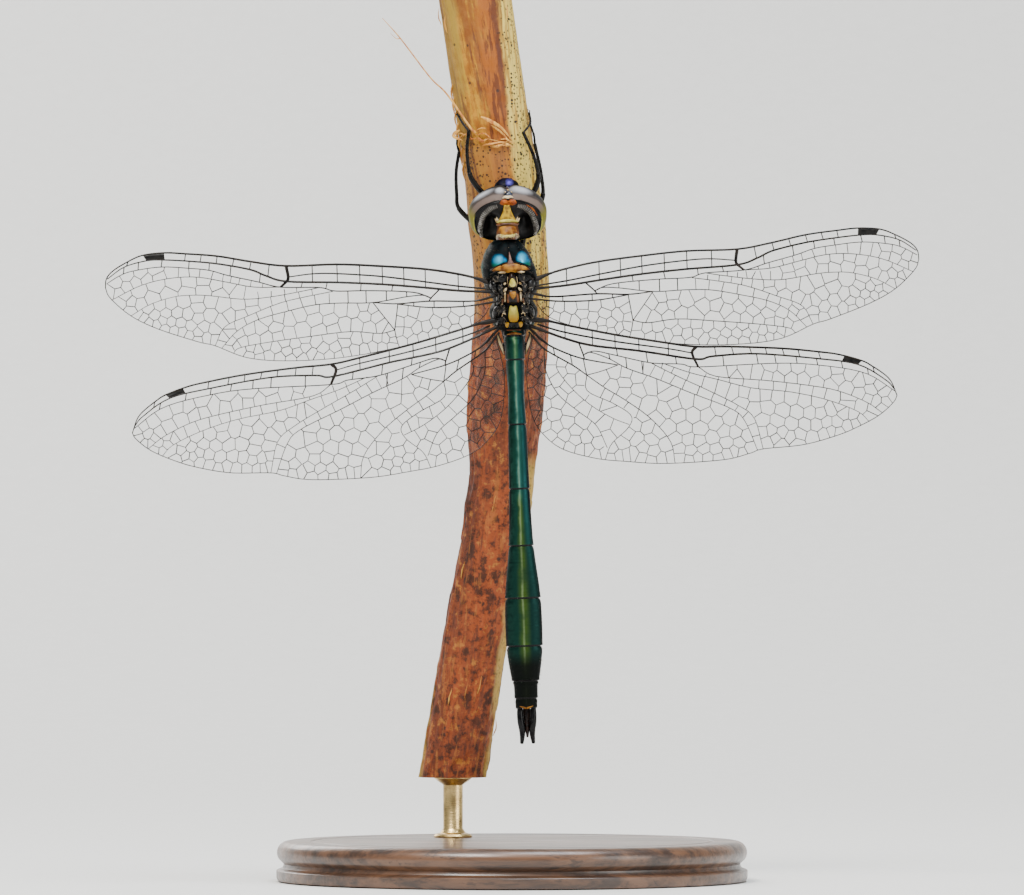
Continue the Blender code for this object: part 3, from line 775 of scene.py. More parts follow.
@finish("dry_bark")
def bark_skin(upper, lower, pale):
    """Straw and orange above, rust red below, bleached on its right side, with fibres and specks."""
    point = frame_point()
    across, depth, height = axes(point)
    # the fibres lean with the stem: to the left above, to the left again below
    lean = larger(height - 52.0, 0.0) * 0.15 + larger(44.0 - height, 0.0) * 0.125
    aligned = node("CombineXYZ", {0: across + lean, 1: depth, 2: height}).outputs[0]
    streak, ridges = fibres(aligned, 2.4)
    coarse = fibres(aligned, 0.9)[0]
    thin = fibres(aligned, 3.4)[0]
    broad = cloud(point, 0.35, 5.0, Roughness=0.6)
    blotch = cloud(point, 0.9, 6.0, Roughness=0.7)
    # how far across the stem, measured from its leaning middle line
    edge = across + (height - 55.0) * 0.1 + (broad - 0.5) * 1.2
    straw = mix(spread(blotch, 0.35, 0.65), upper, (0.3, 0.1, 0.0))
    straw = mix(spread(streak, 0.5, 0.95, 0.0, 0.7), straw, (0.5, 0.3, 0.008))
    straw = mix(spread(coarse, 0.45, 0.15, 0.0, 0.8), straw, (0.18, 0.045, 0.001))
    red = mix(coarse, (0.15, 0.026, 0.001), (0.34, 0.1, 0.001))
    red = mix(spread(streak, 0.55, 0.95, 0.0, 0.6), red, (0.46, 0.19, 0.006))
    above = spread(height, 65.4, 66.2) * spread(coarse, 0.75, 0.4, 0.35, 0.9)
    red = mix(above, red, (0.3, 0.078, 0.0))
    red = mix(spread(thin, 0.42, 0.2, 0.0, 0.85), red, (0.09, 0.018, 0.001))
    top = mix(spread(edge, -1.6, -0.4), straw, red)
    top = mix(spread(edge, 0.7, 1.3), top, mix(spread(streak, 0.2, 0.8), (0.36, 0.2, 0.02), pale))
    seam = spread(edge, 0.3, 0.6) * spread(edge, 1.1, 0.8) * spread(height, 65.5, 73.0, 0.1, 0.9)
    top = mix(seam, top, (0.09, 0.019, 0.002))
    top = mix(spread(edge, -2.3, -3.1, 0.0, 0.6), top, (0.24, 0.16, 0.02))
    # painted shadow: darker red-brown just below the torn bark
    shadow_under_tear = spread(height, 65.9, 65.2) * spread(edge, 0.9, 0.4) * 0.6
    top = mix(shadow_under_tear, top, mix(blotch, (0.16, 0.05, 0.008), (0.5, 0.2, 0.03)))
    rust = mix(coarse, (0.12, 0.022, 0.003), lower)
    rust = mix(spread(blotch, 0.45, 0.36, 0.0, 0.8), rust, (0.42, 0.15, 0.012))
    rust = mix(spread(blotch, 0.5, 0.6, 0.0, 0.85), rust, (0.025, 0.008, 0.003))
    rust = mix(spread(streak, 0.7, 1.0, 0.0, 0.45), rust, (0.4, 0.13, 0.02))
    off_axis = abs(across - ((height - 9.0) * 0.125 - 5.3))
    bare = spread(off_axis + broad * 1.2, 3.1, 3.6, 0.0, 0.85) * spread(height, 38.5, 36.0)
    rust = mix(bare, rust, (0.46, 0.3, 0.06))
    colour = mix(spread(height + (broad - 0.5) * 14.0, 52.5, 48.5), top, rust)
    dots = larger(speckles(point, 2.0, 0.3), speckles(point, 3.6, 0.6))
    below = spread(height, 66.4, 65.4) * spread(height, 53.0, 49.0, 0.9, 0.4)
    specks = dots * larger(spread(edge, 0.6, 1.1), below) * spread(broad, 0.32, 0.44)
    specks = larger(specks, speckles(point, 0.85, 0.2) * 0.8)
    colour = mix(specks, colour, (0.01, 0.004, 0.002))
    return {
        "Base Color": mix(spread(streak, 0.18, 0.0) * 0.7, colour, (0.08, 0.018, 0.006)),
        "Roughness": spread(blotch, 0.3, 0.7, 0.62, 0.88),
        "Normal": relief(ridges + blotch * 0.5, 0.22),
    }


@finish("torn_fibre")
def torn_fibre():
    """Raw fibre, orange to pale straw."""
    streak, ridges = fibres(frame_point(), 5.0)
    return {
        "Base Color": mix(streak, (0.34, 0.08, 0.004), (0.7, 0.38, 0.07)),
        "Roughness": spread(streak, 0.0, 1.0, 0.6, 0.8),
        "Normal": relief(ridges, 0.05),
    }


@finish("stem_pith")
def stem_pith():
    """The spongy inside of the cut stem."""
    point = frame_point()
    rings = cloud(point, 2.2, 6.0, Roughness=0.7)
    pores = cells(point, 5.0)
    colour = mix(spread(rings, 0.35, 0.65), (0.36, 0.2, 0.07), (0.66, 0.46, 0.2))
    return {
        "Base Color": mix(spread(pores, 0.25, 0.1, 0.0, 0.7), colour, (0.16, 0.08, 0.03)),
        "Roughness": spread(rings, 0.3, 0.7, 0.7, 0.9),
        "Normal": relief(rings + pores, 0.08),
    }


@finish("turned_wood", coat_weight=0.35, coat_roughness=0.2)
def turned_wood(tint):
    """Dark satin wood with grain that runs across the disc."""
    laid = mapped(frame_point(), Rotation=(0.0, math.pi / 2, 0.25))
    pores, ridges = fibres(laid, 4.5)
    colour = mix(fibres(laid, 1.1)[0], (0.028, 0.013, 0.007), tint)
    return {
        "Base Color": mix(spread(pores, 0.2, 0.0, 0.0, 0.6), colour, (0.01, 0.005, 0.003)),
        "Roughness": spread(pores, 0.0, 1.0, 0.46, 0.34),
        "Normal": relief(ridges, 0.04),
    }


@finish("brushed_brass", metallic=1.0)
def brushed_brass():
    """Brass with fine turning marks and a little tarnish."""
    point = frame_point()
    lines = cloud(mapped(point, Scale=(0.6, 0.6, 12.0)), 1.5, 4.0)
    tarnish = cloud(point, 0.8, 4.0)
    return {
        "Base Color": mix(spread(tarnish, 0.4, 0.7), (0.72, 0.52, 0.22), (0.42, 0.29, 0.12)),
        "Roughness": spread(lines, 0.3, 0.7, 0.24, 0.4),
        "Normal": relief(lines, 0.012),
    }


@finish("studio_paper")
def studio_paper():
    """Pale paper, seen through from behind."""
    tooth = cloud(frame_point(), 0.6, 4.0)
    return {
        "Base Color": mix(tooth, (0.74, 0.73, 0.7), (0.8, 0.79, 0.76)),
        "Alpha": 1.0 - Flow(node("NewGeometry", {}).outputs["Backfacing"]),
        "Roughness": spread(tooth, 0.3, 0.7, 0.8, 0.9),
        "Normal": relief(tooth, 0.02),
    }


# --- wings ---------------------------------------------------------------------------------------
# vein paths as (span, height) points
FORE_VEINS = {
    "costa": (
        (2.2, 1.75), (3.2, 2.15), (4.9, 2.6), (7.6, 3.1), (11.5, 3.5), (15.5, 3.8), (20.0, 3.82),
        (23.1, 4.3), (26.1, 4.9), (28.9, 5.2), (30.8, 5.35), (32.7, 5.2), (34.0, 4.7), (35.4, 3.9),
        (36.0, 3.2), (36.1, 2.4),
    ),
    "margin": (
        (36.1, 2.4), (35.7, 1.5), (33.9, -0.15), (31.5, -1.4), (28.0, -2.65), (26.5, -3.05), (23.7, -4.2),
        (20.2, -4.6), (15.65, -4.5), (11.2, -3.9), (5.9, -2.7), (3.7, -1.95), (2.7, -1.3), (2.15, -0.5),
    ),
    "subcosta": (
        (2.1, 1.15), (4.8, 1.5), (7.8, 2.0), (11.6, 2.6), (15.4, 2.97), (17.6, 3.04), (19.85, 2.83),
    ),
    "radius": (
        (2.0, 0.9), (4.8, 1.1), (8.0, 1.5), (11.6, 1.9), (15.5, 2.2), (20.0, 2.44), (21.8, 3.0),
        (23.2, 3.6), (26.0, 4.2), (28.3, 4.5), (30.8, 4.72), (32.4, 4.7), (34.4, 4.2), (35.9, 3.2),
    ),
    "nodus": ((20.0, 3.82), (19.85, 2.83), (20.0, 2.44), (20.55, 1.95)),
    "arculus": ((6.54, 1.21), (7.23, 0.56), (7.43, 0.26)),
    "branch_1": (
        (7.2, 0.5), (8.85, 1.1), (12.7, 1.37), (15.7, 1.44), (17.1, 1.8), (20.55, 1.95), (22.6, 2.5),
        (25.2, 3.15), (26.8, 3.65), (28.6, 3.9), (31.1, 4.1), (33.5, 3.85), (34.7, 3.5), (35.95, 2.8),
    ),
    "branch_2": (
        (20.55, 1.95), (23.0, 2.05), (25.5, 2.6), (28.0, 3.1), (30.5, 3.05), (33.0, 2.5), (35.6, 1.3),
    ),
    "inner_2": (
        (17.1, 1.8), (18.8, 1.5), (21.6, 1.1), (24.0, 1.0), (26.8, 1.4), (28.4, 1.5), (30.1, 1.4),
        (32.2, 0.8), (33.9, -0.15),
    ),
    "branch_3": ((15.9, 1.42), (18.7, 0.96), (20.8, 0.5), (23.5, -0.5), (25.6, -1.4), (26.5, -3.05)),
    "media": (
        (7.2, 0.5), (7.95, 0.8), (9.55, 0.7), (12.4, 0.3), (15.4, 0.36), (17.6, 0.27), (20.0, -0.2),
        (22.6, -0.85), (24.5, -1.8), (25.9, -3.25),
    ),
    "stalk": ((1.8, 0.5), (3.5, 0.13), (7.4, 0.26), (10.2, 0.12), (12.4, 0.3)),
    "cubitus": ((1.6, 0.0), (4.2, -0.3), (7.4, -0.3), (10.2, 0.08)),
    "triangle": ((10.2, 0.1), (10.35, -0.9), (10.55, -2.2)),
    "triangle_rear": ((10.55, -2.2), (11.6, -0.8), (12.4, 0.3)),
    "rear_cubitus": (
        (10.55, -2.2), (11.9, -2.45), (14.5, -2.2), (18.0, -2.5), (21.8, -2.9), (24.3, -3.3), (24.9, -3.75),
    ),
    "anal": ((10.55, -2.2), (10.4, -3.0), (10.2, -3.7)),
}
HIND_VEINS = {
    "costa": (
        (2.2, -1.9), (3.1, -2.0), (4.6, -2.4), (8.9, -3.4), (13.6, -4.3), (16.1, -4.7), (19.2, -4.8),
        (23.7, -5.1), (26.9, -5.5), (28.7, -5.8), (30.7, -6.4), (31.6, -6.9), (32.7, -7.7), (33.3, -8.4),
        (33.75, -9.6),
    ),
    "margin": (
        (33.75, -9.6), (33.4, -10.2), (32.1, -11.3), (30.1, -12.3), (28.2, -13.0), (25.25, -13.7),
        (21.7, -13.95), (20.5, -14.3), (18.1, -14.8), (13.0, -14.95), (9.5, -14.65), (6.9, -14.3),
        (4.1, -13.45), (2.45, -12.2), (1.4, -10.5), (1.0, -7.6), (1.1, -5.8), (1.45, -4.2), (1.75, -3.0),
    ),
    "subcosta": ((2.1, -2.25), (4.5, -3.05), (8.9, -4.0), (13.6, -4.8), (15.7, -5.25)),
    "radius": (
        (2.0, -2.6), (4.5, -3.6), (6.9, -4.3), (11.0, -4.9), (16.0, -5.8), (17.5, -5.6), (21.4, -5.5),
        (26.75, -6.1), (30.4, -6.75), (32.8, -8.2), (33.55, -9.05),
    ),
    "nodus": ((16.1, -4.7), (15.7, -5.25), (16.2, -6.5)),
    "arculus": ((5.7, -4.05), (6.06, -5.1), (6.15, -5.5)),
    "branch_1": (
        (6.06, -5.1), (7.05, -4.8), (8.8, -5.2), (12.0, -6.0), (14.7, -6.2), (16.2, -6.5), (22.9, -6.4),
        (26.6, -6.65), (30.9, -7.5), (33.65, -9.25),
    ),
    "branch_2": (
        (16.2, -6.5), (17.8, -7.4), (22.2, -7.9), (26.2, -8.5), (28.6, -9.05), (31.0, -10.1), (32.4, -11.1),
    ),
    "inner_2": (
        (13.0, -6.05), (15.5, -7.0), (18.0, -7.7), (20.8, -8.5), (24.4, -9.0), (27.55, -9.8), (30.2, -10.9),
        (31.2, -11.85),
    ),
    "branch_3": ((12.0, -6.0), (14.4, -7.3), (17.0, -8.6), (19.5, -9.95), (21.0, -11.2), (21.7, -13.95)),
    "media": (
        (6.06, -5.1), (6.7, -4.9), (8.3, -5.5), (9.85, -6.4), (12.4, -7.4), (15.4, -8.75), (19.0, -10.3),
        (20.2, -11.5), (21.2, -14.05),
    ),
    "stalk": ((1.8, -2.95), (2.7, -3.9), (4.1, -4.7), (6.05, -5.45), (9.1, -6.1)),
    "cubitus": ((1.7, -3.3), (2.6, -4.45), (5.1, -6.0), (6.3, -6.9)),
    "triangle": ((6.05, -5.45), (6.15, -6.1), (6.3, -6.9)),
    "triangle_rear": ((6.3, -6.9), (7.6, -6.6), (9.1, -6.1)),
    "rear_cubitus": ((6.3, -6.9), (7.9, -8.1), (9.6, -9.2), (11.8, -10.9), (13.5, -13.0), (13.85, -14.9)),
    "loop": (
        (6.3, -6.9), (6.3, -8.3), (8.5, -9.45), (10.1, -10.6), (9.8, -11.7), (8.3, -13.05), (7.7, -14.4),
    ),
    "loop_rib": ((3.8, -5.2), (3.7, -6.3), (5.0, -8.1), (6.6, -9.6), (8.4, -10.75), (9.9, -11.4)),
    "anal": ((2.6, -4.45), (2.7, -6.4), (3.7, -8.5), (5.4, -10.05), (7.0, -11.4), (7.9, -13.4)),
}
# thickness at the root and at the end, as shares of the costa's
VEIN_WEIGHTS = {
    "costa": (1.0, 0.42), "margin": (0.3, 0.36), "subcosta": (0.75, 0.5), "radius": (1.0, 0.42),
    "nodus": (1.3, 0.9), "arculus": (0.6, 0.5), "branch_1": (0.5, 0.36), "branch_2": (0.38, 0.3),
    "inner_2": (0.36, 0.28), "branch_3": (0.36, 0.3), "media": (0.48, 0.3), "stalk": (0.75, 0.45),
    "cubitus": (0.7, 0.45), "triangle": (0.42, 0.42), "triangle_rear": (0.4, 0.4),
    "rear_cubitus": (0.42, 0.3), "anal": (0.4, 0.3), "loop": (0.36, 0.3), "loop_rib": (0.34, 0.3),
}
# each field is a loop of veins, each followed from the point given to the next entry's point
FORE_FIELDS = (
    (("rear_cubitus", 10.55, -2.2), ("margin", 24.9, -3.75), ("anal", 10.2, -3.85)),
    (("cubitus", 2.3, -0.1), ("triangle", 10.2, 0.08), ("anal", 10.55, -2.2), ("margin", 10.2, -3.75)),
    (
        ("media", 12.4, 0.3), ("margin", 25.9, -3.25), ("rear_cubitus", 24.9, -3.75),
        ("triangle_rear", 10.55, -2.2),
    ),
    (("branch_3", 15.9, 1.42), ("margin", 26.5, -3.05), ("media", 25.9, -3.25), ("branch_1", 15.4, 0.36)),
    (("inner_2", 17.1, 1.8), ("margin", 33.9, -0.15), ("branch_3", 26.5, -3.05), ("branch_1", 15.9, 1.42)),
    (("branch_2", 20.55, 1.95), ("margin", 35.6, 1.3), ("inner_2", 33.9, -0.15), ("branch_1", 17.1, 1.8)),
    (("branch_1", 20.55, 1.95), ("margin", 35.95, 2.8), ("branch_2", 35.6, 1.3)),
)
HIND_FIELDS = (
    (
        ("media", 9.1, -6.1), ("margin", 21.2, -14.05), ("rear_cubitus", 13.85, -14.9),
        ("triangle_rear", 6.3, -6.9),
    ),
    (("branch_3", 12.0, -6.0), ("margin", 21.7, -13.95), ("media", 21.2, -14.05), ("branch_1", 10.2, -6.5)),
    (
        ("inner_2", 13.0, -6.05), ("margin", 31.2, -11.85), ("branch_3", 21.7, -13.95),
        ("branch_1", 12.0, -6.0),
    ),
    (
        ("branch_2", 16.2, -6.5), ("margin", 32.4, -11.1), ("inner_2", 31.2, -11.85),
        ("branch_1", 13.0, -6.05),
    ),
    (("branch_1", 16.2, -6.5), ("margin", 33.65, -9.25), ("branch_2", 32.4, -11.1)),
    (("rear_cubitus", 6.3, -6.9), ("margin", 13.85, -14.9), ("loop", 7.7, -14.4)),
    (("loop", 6.3, -6.9), ("loop_rib", 9.9, -11.4), ("cubitus", 3.8, -5.2)),
    (("loop_rib", 3.8, -5.2), ("loop", 9.9, -11.4), ("anal", 7.9, -13.4), ("cubitus", 2.6, -4.45)),
    (("anal", 2.6, -4.45), ("margin", 7.7, -14.4), ("cubitus", 1.75, -3.4)),
)
# single ladders of cross-veins between two veins, at these spans
FORE_RUNGS = (
    ("costa", "radius", (4.8, 7.7, 9.6, 11.5, 13.5, 15.5, 17.7), 0.0),
    ("costa", "radius", (21.5, 23.1, 24.6, 26.1, 27.5, 28.9, 34.0), 0.15),
    ("radius", "branch_1", (10.6, 13.4, 16.4, 18.6, 22.3, 24.9, 26.8, 28.6, 31.0, 33.1, 34.4), 0.1),
    ("branch_1", "media", (9.4, 11.2, 13.0, 14.6), 0.0),
    ("stalk", "cubitus", (4.4, 7.0, 8.8), 0.0),
)
HIND_RUNGS = (
    ("costa", "radius", (4.5, 6.9, 8.9, 11.0, 13.6), 0.0),
    ("costa", "radius", (17.7, 19.2, 20.8, 22.2, 23.7, 25.1, 26.9, 31.7), 0.15),
    ("radius", "branch_1", (9.0, 11.6, 14.2, 18.4, 21.4, 23.0, 24.9, 26.7, 28.9, 31.2), 0.1),
    ("branch_1", "media", (8.3, 9.8, 11.2), 0.1),
    ("stalk", "cubitus", (3.4, 4.9), 0.2),
)
WINGS = {
    "fore": (FORE_VEINS, FORE_FIELDS, FORE_RUNGS, (2.3, 1.9, 0.25), (30.8, 32.7, 30.75, 32.4)),
    "hind": (HIND_VEINS, HIND_FIELDS, HIND_RUNGS, (2.3, -2.1, 0.75), (29.2, 30.75, 28.95, 30.4)),
}
PLEATS = {                       # shares of the chord where the pleat turns, and how far through its wave
    "fore": ((0.0, 0.14, 0.24, 0.34, 0.45, 0.62, 1.0), (0.0, 0.5, 1.0, 1.5, 2.0, 2.5, 3.2)),
    "hind": ((0.0, 0.05, 0.1, 0.17, 0.26, 0.5, 1.0), (0.0, 0.5, 1.0, 1.5, 2.0, 2.6, 3.4)),
}
PLEAT_DEPTH = 0.13
WING_DROOP = math.tan(math.radians(4.0))
WING_PITCH = math.tan(math.radians(6.5))
WING_CAMBER = 0.25
WING_REACH = 36.0
SPAN_LIMITS = {"fore": (3.0, 35.0), "hind": (2.0, 33.0)}
HIND_LEFT_TILT = math.tan(math.radians(2.0))
HIND_LEFT_STRETCH = 1.011
FORE_LEFT_DROP = 0.16
CELL_SPACING_TRIES = 260
RELAXING_ROUNDS = 4
FIRST_WING_SEED = 11
BROAD_VEINS = ("costa", "margin", "radius", "branch_1")
LEFT_WINGS = {"fore": (FORE_LEFT_DROP, 0.0, 1.0), "hind": (0.0, HIND_LEFT_TILT, HIND_LEFT_STRETCH)}
VEIN_FEET = (("costa", 1.45, 0.24), ("radius", 1.4, 0.16), ("stalk", 1.35, 0.13), ("cubitus", 1.3, 0.1))
FILM_PITCH = 0.42
STIGMA_FORM = (
    (0, 0), (0.2, 0.07), (0.5, 0.1), (0.8, 0.07), (1, 0), (0.8, -0.07), (0.5, -0.1), (0.2, -0.07),
)
FLAP_FORM = ((0, 0.02), (0.5, 0.1), (1, 0.02), (1, -0.02), (0.5, 0.04), (0, -0.02))


class Wing:
    """One wing's veins as curves and the surface that they lie on."""

    def __init__(self, pair, side):
        paths, self.fields, self.rungs, self.hinge, self.stigma = WINGS[pair]
        self.pair = pair
        self.side = side
        self.drop, self.tilt, self.stretched = (0.0, 0.0, 1.0)
        if side < 0:
            self.drop, self.tilt, self.stretched = LEFT_WINGS[pair]
        self.veins = {name: spline(path, 14 * len(path)) for name, path in paths.items()}
        self.outline = self.veins["costa"][:-1] + self.veins["margin"]
        self.tops, self.bottoms = {}, {}
        for p in self.outline:
            key = round(p.x)
            self.tops[key] = max(self.tops.get(key, -99.0), p.y)
            self.bottoms[key] = min(self.bottoms.get(key, 99.0), p.y)

    def chord(self, span):
        """The wing's upper and lower edge at a span."""
        least, most = SPAN_LIMITS[self.pair]
        place = min(max(span, least), most)
        low = math.floor(place)
        share = place - low
        high = low + 1
        top = self.tops[low] * (1 - share) + self.tops[high] * share
        bottom = self.bottoms[low] * (1 - share) + self.bottoms[high] * share
        return top, bottom

    def point(self, span, height, lift=0.0):
        """The body-frame point over (span, height); lift is towards the back."""
        top, bottom = self.chord(span)
        share = min(1.0, max(0.0, (top - height) / max(0.2, top - bottom)))
        reach = min(1.0, span / WING_REACH)
        stops, waves = PLEATS[self.pair]
        k = max(i for i in range(len(stops) - 1) if share >= stops[i])
        wave = waves[k] + (waves[k + 1] - waves[k]) * (share - stops[k]) / (stops[k + 1] - stops[k])
        pleat = PLEAT_DEPTH * (1 - 0.65 * reach) * (1 - 0.8 * share) * math.cos(2 * math.pi * wave)
        camber = WING_CAMBER * math.sin(math.pi * share) * (1 - reach)
        depth = self.hinge[2] + WING_DROOP * (span - self.hinge[0]) - WING_PITCH * (self.hinge[1] - height)
        height -= self.drop + self.tilt * (span - self.hinge[0])
        return Vector((self.side * span * self.stretched, depth - camber - pleat - lift, height))

    def at_span(self, name, span):
        """The first point of a vein at a span."""
        for start, end in zip(self.veins[name], self.veins[name][1:]):
            low, high = sorted((start.x, end.x))
            if low <= span <= high and high > low:
                return start.lerp(end, (span - start.x) / (end.x - start.x))
        return min(self.veins[name], key=lambda p: abs(p.x - span))

    def stretch(self, name, start, end):
        """The part of a vein between the places nearest to two points, in that order."""
        path = self.veins[name]
        first = min(range(len(path)), key=lambda i: (path[i] - start).length)
        last = min(range(len(path)), key=lambda i: (path[i] - end).length)
        return path[first:last + 1] if first <= last else path[last:first + 1][::-1]


def inside(outline, p):
    """Whether a point lies within a closed outline."""
    odd = False
    before = outline[-1]
    for here in outline:
        if (here.y > p.y) != (before.y > p.y):
            if p.x < (before.x - here.x) * (p.y - here.y) / (before.y - here.y) + here.x:
                odd = not odd
        before = here
    return odd


def nearest_on(path, p):
    """The place on a path that is nearest to a point."""
    best, found = 1e9, path[0]
    for start, end in zip(path, path[1:]):
        way = end - start
        share = min(1.0, max(0.0, (p - start).dot(way) / max(1e-9, way.length_squared)))
        place = start + share * way
        gap = (place - p).length_squared
        if gap < best:
            best, found = gap, place
    return found


def circumcentre(a, b, c):
    """The middle of the circle through three points."""
    d = 2 * (a.x * (b.y - c.y) + b.x * (c.y - a.y) + c.x * (a.y - b.y))
    if abs(d) < 1e-9:
        return (a + b + c) / 3
    squares = (a.length_squared, b.length_squared, c.length_squared)
    x = squares[0] * (b.y - c.y) + squares[1] * (c.y - a.y) + squares[2] * (a.y - b.y)
    y = squares[0] * (c.x - b.x) + squares[1] * (a.x - c.x) + squares[2] * (b.x - a.x)
    return Vector((x / d, y / d))


def cell_cores(seeds, sides, reach):
    """Triangles between the seeds and their mirror images in the field's sides."""
    points = list(seeds)
    for seed in seeds:
        for side in sides:
            foot = nearest_on(side, seed)
            if 1e-4 < (foot - seed).length < reach:
                points.append(2 * foot - seed)
    made = delaunay_2d_cdt(points, [], [], 0, 1e-6)
    owners = [min(origin) if origin else -1 for origin in made[3]]
    triangles = []
    for face in made[2]:
        corners = [made[0][i] for i in face]
        triangles.append(([owners[i] for i in face], circumcentre(*corners)))
    return triangles


def relaxed(seeds, sides, reach):
    """Moves each seed to the middle of its own cell."""
    corners = [[] for _ in seeds]
    for owners, centre in cell_cores(seeds, sides, reach):
        for owner in owners:
            if 0 <= owner < len(seeds):
                corners[owner].append(centre)
    moved = []
    for seed, ring in zip(seeds, corners):
        near = [c for c in ring if (c - seed).length < reach]
        if len(near) > 2:
            near.sort(key=lambda c: math.atan2(c.y - seed.y, c.x - seed.x))
            seed = seed.lerp(sum(near, Vector((0, 0))) / len(near), 0.8)
        moved.append(seed)
    return moved


def field_edges(wing, field, size, rng):
    """The cross-veins of one field, as pairs of (span, height) points."""
    sides = []
    for (name, x, y), (_, next_x, next_y) in zip(field, field[1:] + field[:1]):
        sides.append(wing.stretch(name, Vector((x, y)), Vector((next_x, next_y))))
    outline = [p for side in sides for p in side]
    low = Vector((min(p.x for p in outline), min(p.y for p in outline)))
    high = Vector((max(p.x for p in outline), max(p.y for p in outline)))
    margin = wing.veins["margin"]
    seeds = []
    misses = 0
    while misses < CELL_SPACING_TRIES:
        p = Vector((rng.uniform(low.x, high.x), rng.uniform(low.y, high.y)))
        misses += 1
        if not inside(outline, p):
            continue
        away = (nearest_on(margin, p) - p).length
        gap = size * (0.66 + 0.34 * smooth_step(0.2, 3.0, away)) * (1.12 - 0.006 * p.x)
        if any((p - other).length_squared < gap * gap for other in seeds):
            continue
        seeds.append(p)
        misses = 0
    reach = 2.6 * size
    middle = sum(outline, Vector((0, 0))) / len(outline)
    for _ in range(RELAXING_ROUNDS):
        seeds = relaxed(seeds, sides, reach)
        seeds = [p if inside(outline, p) else nearest_on(outline, p).lerp(middle, 0.05) for p in seeds]
    shared = {}
    for owners, centre in cell_cores(seeds, sides, reach):
        if (nearest_on(outline, centre) - centre).length > 0.02 and not inside(outline, centre):
            centre = nearest_on(outline, centre)
        for k in range(3):
            pair = tuple(sorted((owners[k], owners[(k + 1) % 3])))
            shared.setdefault(pair, []).append(centre)
    edges = []
    for (first, second), ends in shared.items():
        real = 0 <= first < len(seeds) and 0 <= second < len(seeds)
        if real and len(ends) == 2 and 0.1 < (ends[0] - ends[1]).length < reach:
            edges.append(ends)
    return edges


def add_veins(wing, name, thickness, size, seed):
    """The main veins, their rungs, the net of cells and the thick feet of the veins at the hinge."""
    rng = random.Random(seed)
    bm = bmesh.new()
    radius = thickness / 2
    for vein, path in wing.veins.items():
        start, end = VEIN_WEIGHTS[vein]
        step = 3 if vein in BROAD_VEINS else 4
        picked = path[::step] + ([path[-1]] if (len(path) - 1) % step else [])
        weights = [start, start * 0.72 + end * 0.28, end] if vein != "margin" else [end, start]
        tube(bm, [wing.point(*p) for p in picked], [radius * w for w in weights], 6)
    fine = radius * 0.34
    for upper, lower, spans, slant in wing.rungs:
        for span in spans:
            top = wing.at_span(upper, span)
            bottom = wing.at_span(lower, span + slant * rng.uniform(0.6, 1.4))
            tube(bm, [wing.point(*top.lerp(bottom, share)) for share in (0, 0.5, 1)], fine * 1.35, 5)
    for field in wing.fields:
        for start, end in field_edges(wing, field, size, rng):
            tube(bm, [wing.point(*start), wing.point(*end)], fine * rng.uniform(0.85, 1.15), 4)
    for vein, inner, wide in VEIN_FEET:
        near = wing.veins[vein][0]
        out = wing.at_span(vein, 3.6)
        slope = (out - near) / max(0.1, out.x - near.x)
        run = [near - slope * (near.x - inner)] + [wing.at_span(vein, span) for span in (2.4, 3.0, 3.7, 4.4)]
        tube(bm, [wing.point(*p) for p in run], [wide, wide * 0.95, wide * 0.6, wide * 0.4, 0.05], 10)
    piece(name + "_veins", bm, BODY_FRAME, [vein_chitin()])


def add_stigma(wing, name):
    """The dark cell near the wing's tip, a thickened plate between two veins."""
    costa_start, costa_end, radius_start, radius_end = wing.stigma
    rings = []
    for k in range(9):
        top = wing.at_span("costa", costa_start + (costa_end - costa_start) * k / 8)
        bottom = wing.at_span("radius", radius_start + (radius_end - radius_start) * k / 8)
        rings.append([wing.point(*top.lerp(bottom, share), lift) for share, lift in STIGMA_FORM])
    bm = bmesh.new()
    skin(bm, rings)
    piece(name + "_stigma", bm, BODY_FRAME, [stigma_chitin()])


def add_film(wing, name, tint, cover):
    """The membrane as one thin pleated sheet inside the wing's outline."""
    outline = wing.outline[::2]
    points = list(outline)
    low = min(p.y for p in outline)
    high = max(p.y for p in outline)
    for i in range(int(WING_REACH / FILM_PITCH) + 1):
        for j in range(int((high - low) / FILM_PITCH) + 1):
            p = Vector((1.0 + (i + 0.5 * (j % 2)) * FILM_PITCH, low + j * FILM_PITCH))
            if inside(outline, p) and (nearest_on(outline, p) - p).length > 0.15:
                points.append(p)
    made = delaunay_2d_cdt(points, [], [list(range(len(outline)))], 1, 1e-6)
    bm = bmesh.new()
    verts = [bm.verts.new(wing.point(p.x, p.y)) for p in made[0]]
    for face in made[2]:
        bm.faces.new([verts[i] for i in face])
    piece(name + "_film", bm, BODY_FRAME, [wing_film(tint, cover)], (name,), sharp=180.0)


def add_flap(wing, name):
    """The milky membranule at a hind wing's foot, with its dark rib."""
    rings = []
    outer = []
    path = spline(((1.5, -3.1), (1.28, -3.7), (1.12, -4.3), (1.06, -4.9)), 14)
    for k, p in enumerate(path):
        wide = 0.26 * math.sin(math.pi * (0.12 + 0.88 * k / 14))
        width = wide + 0.03
        rings.append([wing.point(p.x - 0.1 + width * share, p.y, lift + 0.05) for share, lift in FLAP_FORM])
        outer.append(wing.point(p.x + wide - 0.08, p.y, 0.06))
    bm = bmesh.new()
    skin(bm, rings)
    tube(bm, [wing.point(p.x - 0.12, p.y, 0.06) for p in path], [0.07, 0.04], 6, look=1)
    tube(bm, outer, [0.06, 0.035], 6, look=1)
    piece(name + "_flap", bm, BODY_FRAME, [pale_film(), vein_chitin()])


